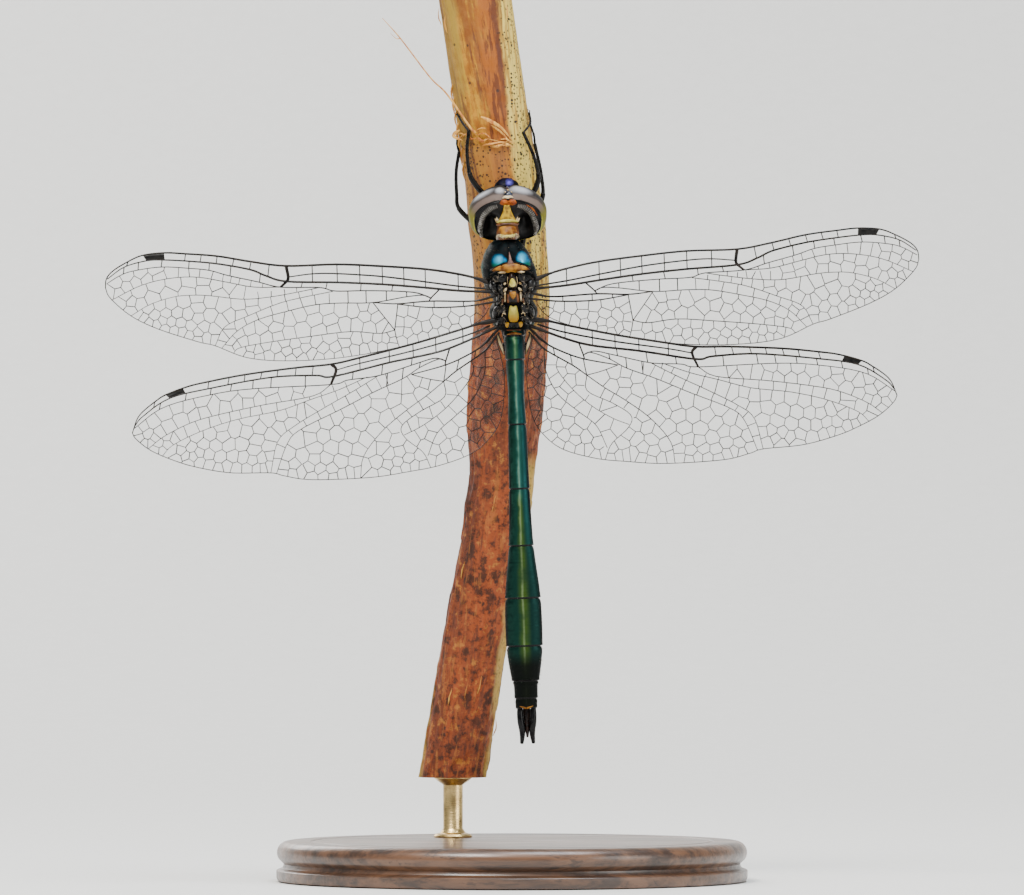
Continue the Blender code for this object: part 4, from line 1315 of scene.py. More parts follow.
# --- head: across, ahead out of the face, up to the crown ------------------------------------------
HEAD_HALF_WIDTH = 3.48
HEAD_HALF_HEIGHT = 2.6
HEAD_FRONT = 2.3
EYE_REAR_SHARE = -0.5            # where the eyes end behind, as a share of a unit ball
EYE_REAR_SLOPE = 2.2
EYE_GRID = (48, 96)
PAD_MIDDLE = ((0.85, 1.72), (1.5, 1.42), (2.05, 0.78), (2.34, -0.1), (2.5, -0.95), (2.36, -1.7))
OCCIPUT_BAR = (
    (-0.42, -0.95, 2.3), (-0.2, -0.92, 2.4), (0.06, -0.93, 2.37), (0.3, -0.92, 2.42), (0.55, -0.95, 2.34),
)
REAR_GRID = (28, 112)
RIM_SHARE = 0.866


# rows of (up, ahead, half width, half depth)
FACE_ROWS = {
    "frons": (
        (1.8, 2.0, 0.6, 0.4), (1.55, 2.1, 1.0, 0.75), (1.15, 2.0, 1.15, 1.05), (0.75, 1.95, 1.2, 1.15),
        (0.45, 1.9, 1.25, 1.12),
    ),
    "clypeus": (
        (0.52, 1.9, 1.2, 1.05), (0.3, 1.95, 1.42, 1.22), (-0.1, 1.95, 1.5, 1.28), (-0.42, 1.9, 1.42, 1.2),
    ),
    "clypeus_edge": ((-0.34, 1.95, 0.85, 1.2), (-0.52, 2.0, 1.0, 1.3), (-0.78, 1.95, 0.95, 1.22)),
    "labrum": (
        (-0.7, 1.7, 1.3, 1.2), (-0.95, 1.8, 1.5, 1.3), (-1.35, 1.72, 1.45, 1.22), (-1.68, 1.5, 1.2, 1.0),
    ),
    "labium": (
        (-1.55, 1.1, 1.3, 1.1), (-1.9, 0.9, 1.35, 1.15), (-2.3, 0.4, 1.1, 0.95), (-2.5, 0.0, 0.7, 0.6),
    ),
}


def fuller(x, z):
    """The head's outline is squarer at its lower corners than a ball's."""
    reach = math.hypot(x, z)
    if reach < 1e-6:
        return 1.0
    power = 2 + 0.9 * smooth_step(0.15, -0.55, z / reach)
    return (abs(x / reach) ** power + abs(z / reach) ** power) ** (-1 / power)


def head_shell(x, y, z):
    """From the unit ball to the head's outer form."""
    groove = 1 - 0.1 * bell(x * HEAD_HALF_WIDTH, 0.0, 0.42)
    depth = y * (HEAD_FRONT if y > 0 else EYE_REAR_SLOPE)
    full = fuller(x, z)
    return Vector((x * HEAD_HALF_WIDTH * full, depth * groove, z * HEAD_HALF_HEIGHT * groove * full))


def head_rear(x, u, lift=0.0):
    """The hollowed back of the head."""
    across, up = x / HEAD_HALF_WIDTH, u / HEAD_HALF_HEIGHT
    share = min(1.0, math.hypot(across, up) / RIM_SHARE / fuller(across, up))
    dome = 0.3 * (1 - share ** 3)
    hollow = 1.0 * bell(abs(x), 1.45, 0.6) * bell(u, -0.3, 0.95)
    return Vector((x, -1.1 - dome + hollow - lift, u))


def add_eye(side, letter, look):
    """One compound eye and the rim behind it."""
    bm = bmesh.new()
    rings = []
    rows, columns = EYE_GRID
    for i in range(1, rows + 1):
        polar = 0.5 * math.pi * i / rows
        ring = []
        for c, s in around(columns):
            y = math.sin(polar) * c
            if y < EYE_REAR_SHARE:
                y = EYE_REAR_SHARE + 1.2 * (EYE_REAR_SHARE - y)
            ring.append(head_shell(side * math.cos(polar), y, math.sin(polar) * s))
        rings.append(ring)
    loops = skin(bm, rings, caps=(False, True))
    close(bm, loops[0], head_shell(side, 0, 0))
    piece("eye_shell_" + letter, bm, HEAD_FRAME, [look], ("eye_" + letter,), sharp=60)

    bm = bmesh.new()
    for share, ahead, radius, look_index in ((1.0, -1.08, 0.07, 0), (0.965, -1.17, 0.08, 1)):
        path = []
        for k in range(41):
            angle = math.radians(76 - 150 * k / 40)
            c, s = math.cos(angle), math.sin(angle)
            reach = RIM_SHARE * share * fuller(c, s)
            path.append((side * HEAD_HALF_WIDTH * reach * c, ahead, HEAD_HALF_HEIGHT * reach * s))
        tube(bm, path, [0.03, radius, radius, radius, 0.04], 8, look=look_index)
    piece("eye_rim_" + letter, bm, HEAD_FRAME, [eye_rim(), black_chitin()])


def add_head_rear():
    """The hollow back of the head, its silver bands, the occiput with its bar, and the ochre streak."""
    bm = bmesh.new()
    rings = []
    rows, columns = REAR_GRID
    for i in range(1, rows + 1):
        ring = []
        for c, s in around(columns):
            reach = RIM_SHARE * i / rows * fuller(c, s)
            ring.append(head_rear(HEAD_HALF_WIDTH * reach * c, HEAD_HALF_HEIGHT * reach * s))
        rings.append(ring)
    loops = skin(bm, rings, caps=(False, False))
    close(bm, loops[0], head_rear(0, 0))
    piece("head_rear", bm, HEAD_FRAME, [head_rear_skin()], ("head_capsule",))

    bm = bmesh.new()
    rng = random.Random(41)
    for side in (-1, 1):
        path = spline(PAD_MIDDLE, 46)
        tube(bm, [head_rear(side * p.x, p.y, -0.1) for p in path], [0.08, 0.24, 0.24, 0.27, 0.28, 0.14], 14)
        for k in range(1, 46):
            ahead = (path[k + 1] - path[k - 1]).normalized()
            across = Vector((ahead.y, -ahead.x))
            wide = 0.27 * math.sin(math.pi * min(0.85, 0.15 + k / 52)) + 0.04
            ends = []
            for step in range(5):
                share = step / 2 - 1
                p = path[k] + across * wide * share + ahead * rng.uniform(-0.02, 0.02)
                ends.append(head_rear(side * p.x, p.y, 0.2 + 0.06 * (1 - share * share) - 0.12 * abs(share)))
            tube(bm, ends, [0.012, 0.034, 0.012], 5, look=k % 2)
    piece("head_pads", bm, HEAD_FRAME, [silver_pad(), pad_rib()])

    bm = bmesh.new()
    for side in (-1, 1):
        centre = (side * 0.36 + 0.08, -1.14, 1.98)
        lump(bm, centre, (0.38, 0.24, 0.31), turn=(0.3, side * 0.25, 0), detail=4, roughness=0.12)
    lump(bm, (0.05, -1.1, 1.72), 0.26, detail=4)
    piece("occiput", bm, HEAD_FRAME, [occiput_skin()])

    bm = bmesh.new()
    tube(bm, spline(OCCIPUT_BAR, 12), [0.04, 0.13, 0.15, 0.12, 0.03], 10)
    piece("occiput_bar", bm, HEAD_FRAME, [bone_plate()])

    bm = bmesh.new()
    streak = spline(((1.65, 1.72), (2.2, 1.25), (2.6, 0.5)), 10)
    tube(bm, [head_rear(*p, 0.04) for p in streak], [0.03, 0.1, 0.03], 8)
    piece("head_streak", bm, HEAD_FRAME, [occiput_skin()])


def add_vertex():
    """The knob between the eyes with its three simple eyes."""
    bm = bmesh.new()
    lump(bm, (0.12, -0.5, 2.22), (0.42, 0.4, 0.4), detail=4, turn=(0.25, 0, 0))
    lump(bm, (0.05, 0.3, 2.16), (0.2, 0.8, 0.3), detail=4, turn=(-0.2, 0, 0))
    for x, y, z, size in ((-0.16, -0.34, 2.5, 0.08), (0.38, -0.34, 2.5, 0.08), (0.1, -0.1, 2.56, 0.09)):
        lump(bm, (x, y, z), size, look=1)
    piece("head_vertex", bm, HEAD_FRAME, [vertex_metal(), ocellus_lens()])


def face_form(bm, rows):
    """A rounded form from rows of (up, ahead, half width, half depth)."""
    rings = []
    for up, ahead, wide, deep in spline(rows, 4 * (len(rows) - 1)):
        rings.append(level_oval(ahead, up, max(0.02, wide), max(0.02, deep), 40, 2.3))
    skin(bm, rings)


def add_face():
    """Frons, clypeus, lips, the hairs of the face and the feelers."""
    bm = bmesh.new()
    lump(bm, (-0.05, 2.1, 1.5), (0.9, 0.74, 0.42), turn=(0.2, 0, 0), detail=5)
    face_form(bm, FACE_ROWS["frons"])
    piece("head_frons_form", bm, HEAD_FRAME, [frons_metal()], ("head_frons",))

    bm = bmesh.new()
    face_form(bm, FACE_ROWS["clypeus"])
    face_form(bm, FACE_ROWS["clypeus_edge"])
    piece("head_clypeus_form", bm, HEAD_FRAME, [face_skin()], ("head_clypeus",))

    bm = bmesh.new()
    face_form(bm, FACE_ROWS["labrum"])
    for side in (-1, 1):
        lump(bm, (side * 1.62, 1.35, -1.1), (0.36, 0.7, 0.62), turn=(0.2, 0, side * 0.3), detail=4, look=1)
    looks = [black_chitin(), brown_plate()]
    piece("head_labrum_form", bm, HEAD_FRAME, looks, ("head_labrum",))

    bm = bmesh.new()
    face_form(bm, FACE_ROWS["labium"])
    for side in (-1, 1):
        turn = (0.35, 0, side * 0.35)
        lump(bm, (side * 0.95, 0.85, -1.98), (0.62, 1.05, 0.4), turn=turn, detail=4, roughness=0.05)
    piece("head_labium_form", bm, HEAD_FRAME, [face_skin()], ("head_labium",))

    bm = bmesh.new()
    rng = random.Random(17)
    for _ in range(170):
        up = rng.uniform(-1.7, 1.9)
        across = rng.uniform(-1.0, 1.0)
        wide = 1.2 - 0.25 * max(0.0, up)
        root = Vector((across * wide, 1.95 + 1.15 * math.sqrt(max(0.05, 1 - across * across)), up))
        way = Vector((0.5 * across, 1.0, rng.uniform(-0.1, 0.5))).normalized()
        spike(bm, root, root + way * rng.uniform(0.2, 0.42), 0.012)
    fur("head_hairs", bm, HEAD_FRAME, leg_chitin(), lambda p: (0.5 + p.x / 8, 0.5 + p.z / 8))

    for side, letter in SIDES:
        bm = bmesh.new()
        root = Vector((side * 1.2, 3.8, 9.7))
        way = Vector((side * 0.78, 0.47, -0.36))
        lump(bm, root, 0.17)
        tube(bm, [root, root + way * 0.32], [0.14, 0.12], 10)
        bow = Vector((0, 0, 0.16))
        run = (root + way * 0.3, root + way * 0.9 + bow, root + way * 1.6 + bow, root + way * 2.35)
        tube(bm, spline(run, 18), [0.075, 0.05, 0.035, 0.02], 8)
        name = "antenna_" + letter
        piece(name + "_lash", bm, BODY_FRAME, [leg_chitin()], (name,))


def fur(name, bm, place, look, unwrap):
    """A piece of bristles; each has a tiny patch of the bake map where its root is on the skin's unwrap."""
    mesh = piece(name, bm, place, [look], sharp=180).data
    layer = mesh.uv_layers.new(name="OFBake")
    back = (Matrix.Scale(MM, 4) @ place).inverted()
    roots = {}
    for polygon in mesh.polygons:
        for corner, loop in enumerate(polygon.loop_indices):
            vertex = mesh.loops[loop].vertex_index
            hair = vertex // HAIR_POINTS
            if hair not in roots:
                u, v = unwrap(back @ mesh.vertices[hair * HAIR_POINTS].co)
                roots[hair] = (min(0.99, max(0.0, u)), min(0.99, max(0.0, v)))
            u, v = roots[hair]
            layer.data[loop].uv = (u + 0.003 * (corner % 2), v + 0.003 * (corner // 2 % 2))


# --- neck and thorax -----------------------------------------------------------------------------
NECK = ((6.6, 0.3, 0.9, 0.62), (7.1, 0.18, 0.72, 0.42), (7.75, -0.08, 0.4, 0.32), (8.35, -0.4, 0.24, 0.2))
PROTHORAX = (
    (5.3, 0.75, 0.9, 1.35), (5.7, 0.55, 1.02, 1.35), (6.2, 0.45, 0.96, 1.05), (6.66, 0.35, 0.88, 0.75),
)
PROTHORAX_CURVE = spline(PROTHORAX, 24)
THORAX = (
    (5.3, 1.6, 1.05, 1.7), (4.8, 1.7, 1.62, 2.6), (4.0, 1.8, 2.15, 3.1), (2.9, 1.85, 2.5, 3.35),
    (1.6, 1.85, 2.6, 3.35), (0.2, 1.9, 2.5, 3.2), (-1.1, 2.0, 2.35, 2.9), (-2.0, 2.1, 2.0, 2.4),
    (-2.65, 2.15, 1.45, 1.75),
)
THORAX_CURVE = spline(THORAX, 120)
HOOD_EDGE = (
    (-0.76, 6.42), (-0.4, 6.52), (0, 6.55), (0.4, 6.52), (0.76, 6.42), (0.88, 6.05), (0.72, 5.78),
    (0.34, 5.66), (0, 5.7), (-0.34, 5.66), (-0.72, 5.78), (-0.88, 6.05),
)
HOOD_FRINGE = (
    (-0.76, 5.84), (0, 5.74), (0.76, 5.84), (0.76, 5.6), (0.56, 5.5), (0.42, 5.58), (0.22, 5.46),
    (0.08, 5.56), (-0.1, 5.44), (-0.26, 5.56), (-0.45, 5.48), (-0.58, 5.58), (-0.76, 5.56),
)
THORAX_SQUARENESS = 2.35
SUTURES = ((3.05, 0.28), (1.25, 0.3), (-0.55, 0.3))   # height at the back and slope towards the belly


def sunken(x, z):
    """How deep the back lies under the thorax's plain form."""
    return 0.3 * smooth_step(2.7, 2.25, z) * smooth_step(-2.7, -2.2, z) * smooth_step(2.1, 1.6, abs(x))


def thorax_back(x, z, lift=0.0):
    """The sunken upper surface between the wings, with room for the plates."""
    depth, wide, deep = value_at(THORAX_CURVE, z)
    share = min(0.985, abs(x) / wide)
    y = depth - deep * (1 - share ** THORAX_SQUARENESS) ** (1 / THORAX_SQUARENESS)
    return Vector((x, y + sunken(x, z) - lift, z))


def add_neck():
    """The neck and the prothorax with its collar, hood and fringe."""
    bm = bmesh.new()
    rings = []
    for z, y, wide, deep in spline(NECK, 24):
        ring = level_oval(y, z, wide, deep, 36)
        rings.append([p + Vector((0, 0.05 * noise.noise(p * 4.0), 0)) for p in ring])
    skin(bm, rings)
    skin(bm, [level_oval(y, z, wide, deep, 48, 2.2) for z, y, wide, deep in PROTHORAX_CURVE], look=1)
    lean_left(bm)
    looks = [ochre_skin(), brown_plate()]
    piece("neck_and_prothorax", bm, BODY_FRAME, looks, ("neck", "prothorax"))

    bm = bmesh.new()

    def collar(x, z, lift=0.0):
        return Vector((x, 0.33 - 0.72 * math.sqrt(max(0.02, 1 - x ** 2)) - lift, z))
    arc = [collar(-0.92 + 1.84 * k / 20, 6.98 - 0.1 * abs(k / 10 - 1) ** 2) for k in range(21)]
    tube(bm, arc, [0.08, 0.13, 0.15, 0.13, 0.08], 12)
    arc = [collar(-0.93 + 1.86 * k / 20, 6.66, 0.04) for k in range(21)]
    tube(bm, arc, [0.1, 0.14, 0.13, 0.14, 0.1], 12, look=1)
    for side in (-1, 1):
        for reach, rise in ((0.0, 0.45), (0.12, 0.3), (-0.1, 0.26)):
            root = Vector((side * (0.88 + reach * 0.5), 0.0, 6.92))
            spike(bm, root, root + Vector((side * (0.06 + reach), -0.18, rise)), 0.09, 8, look=2)
    lean_left(bm)
    piece("prothorax_collar", bm, BODY_FRAME, [yellow_plate(), brown_plate(), bone_plate()])

    bm = bmesh.new()

    def hood(x, z, lift=0.0):
        y, wide, deep = value_at(PROTHORAX_CURVE, z)
        return Vector((x, y - deep * math.sqrt(max(0.03, 1 - (x / wide) ** 2)) - lift, z))
    plate(bm, HOOD_EDGE, hood, 0.24, steps=6)
    plate(bm, HOOD_FRINGE, hood, 0.13, look=1)
    lean_left(bm)
    piece("prothorax_hood", bm, BODY_FRAME, [ochre_plate(), yellow_plate()])

    bm = bmesh.new()
    rng = random.Random(29)
    for _ in range(150):
        x = rng.uniform(-0.85, 0.85)
        root = hood(x, rng.uniform(5.5, 5.85), 0.05)
        out = 0.3 * x + rng.uniform(-0.08, 0.08)
        spike(bm, root, root + Vector((out, -rng.uniform(0.02, 0.2), -rng.uniform(0.08, 0.22))), 0.009)
    lean_left(bm)

    def unwrap(p):
        return 0.5 + p.x / 4, (p.z - 4) / 4
    fur("prothorax_hairs", bm, BODY_FRAME, pale_hair(), unwrap)


def add_thorax(look):
    """The thorax with its sunken back, keel, shoulders and sutures."""
    bm = bmesh.new()
    rings = []
    for z, depth, wide, deep in spline(THORAX, 88):
        ring = []
        for p in level_oval(depth, z, wide, deep, 120, THORAX_SQUARENESS):
            out = Vector((p.x / wide, (p.y - depth) / deep, 0)).normalized()
            back = smooth_step(0.1, 0.6, -out.y)
            side = smooth_step(0.35, 0.8, abs(out.x))
            push = -sunken(p.x, z) * back
            push += 0.09 * bell(p.x, 0.0, 0.09) * smooth_step(2.9, 3.5, z) * back
            push += 0.12 * bell(abs(p.x), 1.2, 0.6) * bell(z, 3.5, 0.8) * back
            for start, slope in SUTURES:
                groove = start + slope * (p.y - 0.2)
                push -= 0.09 * bell(z, groove, 0.1) * side
                push += 0.05 * bell(z, groove - 0.5, 0.35) * side
            push += 0.03 * noise.noise(p * 1.3)
            ring.append(p + out * push)
        rings.append(ring)
    skin(bm, rings)
    lean_left(bm)
    piece("thorax_form", bm, BODY_FRAME, [look], ("thorax",))


# what each plate is made of and its shapes: rise, whether it lies on the middle, outline
DORSAL_PLATES = {
    "antealar_band": (ochre_plate, (
        (0.24, True, (
            (-0.92, 3.0), (-0.4, 3.17), (0, 3.2), (0.4, 3.17), (0.92, 3.0), (1.0, 2.58), (0.7, 2.46),
            (0.35, 2.34), (0, 2.42), (-0.35, 2.34), (-0.7, 2.46), (-1.0, 2.58),
        )),
        (0.2, False, ((0.86, 3.02), (1.42, 2.88), (1.78, 2.66), (1.72, 2.54), (1.35, 2.54), (0.9, 2.56))),
    )),
    "antealar_lobes": (brown_plate, (
        (0.2, False, ((0.85, 0.12), (1.25, 0.06), (1.32, -0.24), (1.0, -0.36))),
        (0.26, False, ((0.25, 0.55), (0.5, 0.5), (0.56, -0.2), (0.3, -0.26))),
    )),
    "pale_marks": (bone_plate, (
        (0.3, False, ((0.48, 2.44), (0.9, 2.5), (1.3, 2.4), (1.0, 2.3), (0.62, 2.28))),
        (0.34, False, ((0.62, 1.52), (0.82, 1.4), (0.74, 1.27), (0.54, 1.38))),
        (0.3, False, ((0.5, 1.04), (0.74, 0.94), (0.92, 0.7), (0.56, 0.76))),
        (0.34, False, ((0.62, 0.6), (0.79, 0.56), (0.82, -0.1), (0.67, -0.16))),
        (0.22, False, ((0.95, -0.4), (1.2, -0.34), (1.3, -0.42), (1.1, -0.5))),
    )),
    "scutum_ridge": (dark_brown_plate, (
        (0.36, True, (
            (-0.3, 2.1), (0, 2.4), (0.3, 2.1), (0.43, 1.5), (0.38, 1.0), (0, 0.86), (-0.38, 1.0),
            (-0.43, 1.5),
        )),
        (0.3, True, (
            (-0.42, 0.78), (0, 0.9), (0.42, 0.78), (0.55, 0.2), (0.44, -0.3), (0, -0.42), (-0.44, -0.3),
            (-0.55, 0.2),
        )),
    )),
    "scutum_domes": (dusted_black, (
        (0.3, False, ((0.5, 2.26), (1.1, 2.24), (1.72, 2.12), (1.85, 1.75), (1.3, 1.46), (0.58, 1.55))),
        (0.2, False, ((0.62, 1.95), (1.1, 2.02), (1.6, 1.9), (1.1, 1.84))),
        (0.36, False, ((0.85, 1.42), (1.4, 1.45), (1.62, 1.05), (1.35, 0.6), (0.95, 0.45), (0.8, 0.85))),
        (0.34, False, ((1.5, 1.5), (2.05, 1.7), (2.2, 1.1), (1.95, 0.6), (1.6, 0.75))),
        (0.3, False, ((0.78, 0.4), (1.25, 0.5), (1.6, 0.3), (1.35, 0.1), (0.9, 0.15))),
        (0.34, False, ((1.4, 0.42), (1.9, 0.5), (2.1, -0.05), (1.8, -0.5), (1.38, -0.2))),
        (0.36, False, ((0.66, -0.5), (1.2, -0.42), (1.6, -0.85), (1.45, -1.3), (0.95, -1.25), (0.62, -1.0))),
        (0.34, False, ((1.5, -0.55), (1.95, -0.6), (2.1, -1.15), (1.85, -1.7), (1.5, -1.4))),
        (0.3, False, ((0.85, -1.5), (1.35, -1.45), (1.75, -1.85), (1.5, -2.3), (1.0, -2.2), (0.78, -1.85))),
        (0.26, True, ((-0.5, -2.05), (0, -1.98), (0.5, -2.05), (0.6, -2.4), (0, -2.55), (-0.6, -2.4))),
    )),
    "scutellum": (yellow_plate, (
        (0.54, True, (
            (0, 2.0), (0.22, 1.8), (0.34, 1.36), (0.25, 1.1), (0, 1.02), (-0.25, 1.1), (-0.34, 1.36),
            (-0.22, 1.8),
        )),
        (0.42, True, (
            (-0.28, -0.56), (0, -0.64), (0.28, -0.56), (0.4, -1.0), (0.46, -1.6), (0.3, -1.98), (0, -2.06),
            (-0.3, -1.98), (-0.46, -1.6), (-0.4, -1.0),
        )),
        (0.3, False, ((0.4, -2.05), (0.74, -2.0), (0.78, -2.3), (0.6, -2.48), (0.42, -2.3))),
    )),
    "scutum_middle": (ochre_plate, (
        (0.44, True, (
            (0, 0.74), (0.3, 0.7), (0.36, 0.35), (0.16, -0.02), (0, -0.14), (-0.16, -0.02), (-0.36, 0.35),
            (-0.3, 0.7),
        )),
    )),
}


PALE_RIDGES = (
    (0.045, ((0.7, -1.32), (0.84, -1.2), (1.0, -1.24), (1.06, -1.5))),
    (0.018, ((0.4, 2.0), (0.44, 1.5), (0.3, 1.08))),
    (0.018, ((0.82, -0.62), (0.9, -0.9), (0.84, -1.2))),
)
WING_SEATS = ((2.62, 1.98, 0.35), (1.95, 2.02, 0.2), (0.62, 2.1, 0.1), (-0.85, 2.0, -0.1))


def add_thorax_plates():
    """The plates, ridges and edges on the back between the wings."""
    for name, (look, shapes) in DORSAL_PLATES.items():
        bm = bmesh.new()
        for rise, single, outline in shapes:
            for side in ((1,) if single else (-1, 1)):
                plate(bm, mirrored(outline, side), thorax_back, rise, steps=9, fullness=0.6)
        slot = "black_chitin" if name in ("scutum_domes", "scutum_ridge") else "soft_ochre"
        if name == "scutum_domes":
            for vert in bm.verts:
                vert.co.y += 0.07 * noise.noise(vert.co * 3.0) + 0.05 * noise.noise(vert.co * 7.0)
        lean_left(bm)
        piece("thorax_" + name, bm, BODY_FRAME, [look()], sharp=50)

    bm = bmesh.new()
    crest = [thorax_back(0, 3.9 + 1.25 * k / 16, 0.06) for k in range(17)]
    tube(bm, crest, [0.02, 0.03, 0.03, 0.02, 0.015], 8)
    wedge = ((-0.32, 3.12), (-0.14, 3.5), (0, 4.5), (0.14, 3.5), (0.32, 3.12), (0, 3.0))
    plate(bm, wedge, thorax_back, 0.15, look=1)
    lean_left(bm)
    piece("thorax_carina", bm, BODY_FRAME, [bone_plate(), mauve_plate()])

    bm = bmesh.new()
    rng = random.Random(47)
    for side in (-1, 1):
        for radius, places in PALE_RIDGES:
            ridge = [thorax_back(side * x, z, 0.3) for x, z in places]
            tube(bm, ridge, [radius * 0.8, radius, radius * 0.7], 6)
        for _ in range(34):
            x, z = rng.uniform(0.75, 1.9), rng.uniform(-2.2, 2.1)
            turn, reach = rng.uniform(0, math.pi), rng.uniform(0.1, 0.26)
            step = Vector((math.cos(turn), math.sin(turn))) * reach
            places = ((x - step.x, z - step.y), (x, z + 0.06), (x + step.x, z + step.y))
            tube(bm, [thorax_back(side * a, b, 0.32) for a, b in places], [0.01, 0.02, 0.008], 5, look=1)
    lean_left(bm)
    piece("thorax_pale_ridges", bm, BODY_FRAME, [bone_plate(), dull_hair()])

    bm = bmesh.new()
    for side in (-1, 1):
        for z, x, tilt in WING_SEATS:
            steps = [(side * (0.7 + (x - 0.7) * k / 8), z - tilt * (k / 8) ** 2) for k in range(9)]
            tube(bm, [thorax_back(*step, 0.03) for step in steps], [0.035, 0.05, 0.06], 8)
        for z, y, size in ((4.1, 5.05, 0.5), (2.5, 5.1, 0.58), (0.9, 5.0, 0.62)):
            centre = (side * (0.85 + 0.28 * (4.1 - z)), y, z)
            lump(bm, centre, (size, 0.55, size * 0.9), detail=4, roughness=0.1)
        steps = [(side * 1.86 * k / 12, 3.27 - 0.19 * (1.86 * k / 12) ** 2) for k in range(13)]
        tube(bm, [thorax_back(*step, 0.03) for step in steps], [0.05, 0.06, 0.06, 0.09], 8)
    lean_left(bm)
    piece("thorax_edges", bm, BODY_FRAME, [dark_brown_plate()])


def add_thorax_hairs(count, length):
    """Fine hairs on the front and the flanks."""
    bm = bmesh.new()
    rng = random.Random(53)
    made = 0
    while made < count:
        z = rng.uniform(-2.4, 5.1)
        depth, wide, deep = value_at(THORAX_CURVE, z)
        angle = rng.uniform(0, 2 * math.pi)
        out = Vector((math.cos(angle), math.sin(angle), 0))
        back = -out.y
        if back > 0.72 and z < 4.3 or rng.random() < 0.5 * max(0.0, back):
            continue
        c, s = [abs(share) ** (2 / THORAX_SQUARENESS) for share in out[:2]]
        root = Vector((math.copysign(c * wide, out.x), depth + math.copysign(s * deep, out.y), z))
        way = (out + Vector((0, rng.uniform(-0.2, 0.3), rng.uniform(-0.5, 0.1)))).normalized()
        reach = length * rng.uniform(0.5, 1.0) * (0.6 if back > 0.3 else 1.0)
        spike(bm, root, root + way * reach, 0.008, bow=Vector((0, 0, -0.08 * reach)))
        made += 1
    lean_left(bm)

    def unwrap(p):
        return (0.5 + math.atan2(p.x, 1.8 - p.y) / (2 * math.pi)) * 0.99, (p.z + 2.65) / 8
    fur("thorax_hairs", bm, BODY_FRAME, dull_hair(), unwrap)


# --- abdomen -------------------------------------------------------------------------------------
SEGMENT_ENDS = (-2.7, -3.25, -5.35, -11.1, -16.8, -21.85, -26.5, -30.75, -33.85, -35.4, -36.3)
ABDOMEN_SHAPE = (
    (-2.7, 2.0, 2.3), (-4.2, 1.8, 2.5), (-6.7, 1.57, 1.85), (-8.5, 1.42, 1.55), (-11.1, 1.62, 1.5),
    (-16.8, 1.84, 1.6), (-21.8, 2.22, 1.75), (-26.4, 3.15, 1.95), (-30.7, 3.22, 2.1), (-33.8, 2.42, 1.85),
    (-34.15, 2.14, 1.7), (-35.3, 2.06, 1.6), (-36.3, 1.86, 1.45),
)
ABDOMEN_DEPTH = (2.1, 2.9)
ABDOMEN_ARCH = 0.5
SEGMENT_GAP = 0.035
EXTRA_RIDGE = -8.48              # the third segment's second ring
END_MARK = (
    (-0.8, -36.0), (-0.3, -36.1), (0, -36.14), (0.3, -36.1), (0.8, -36.0), (0.35, -36.24), (0, -36.29),
    (-0.35, -36.24),
)
CLASPER = (
    (0.6, 0.0, -36.15), (0.6, -0.05, -36.8), (0.56, -0.08, -37.4), (0.46, -0.04, -38.1), (0.45, 0.06, -38.7),
    (0.52, 0.12, -39.35),
)


def abdomen_axis(height):
    """How deep the abdomen's middle line lies at a height."""
    share = (SEGMENT_ENDS[0] - height) / (SEGMENT_ENDS[0] - SEGMENT_ENDS[-1])
    first, last = ABDOMEN_DEPTH
    return first + (last - first) * share - ABDOMEN_ARCH * math.sin(math.pi * share)


def abdomen_ring(shape, height, swell):
    """A ring with a keel along the back, an edge at each side and a furrow below."""
    width, depth = value_at(shape, height)
    centre = Vector((0, abdomen_axis(height), height))
    ring = []
    for p in oval(centre, ACROSS, DEEP, width / 2 * swell, depth / 2 * swell, 56, 2.15):
        up = p.y < centre.y
        p.y -= 0.05 * bell(p.x, 0.0, 0.07) if up else 0.0
        side = bell(p.y, centre.y + 0.18 * depth, 0.09)
        p.x += math.copysign(0.04 * side, p.x)
        if not up:
            p.y += 0.22 * bell(p.x, 0.0, 0.16) * depth / 2
        ring.append(p)
    return ring


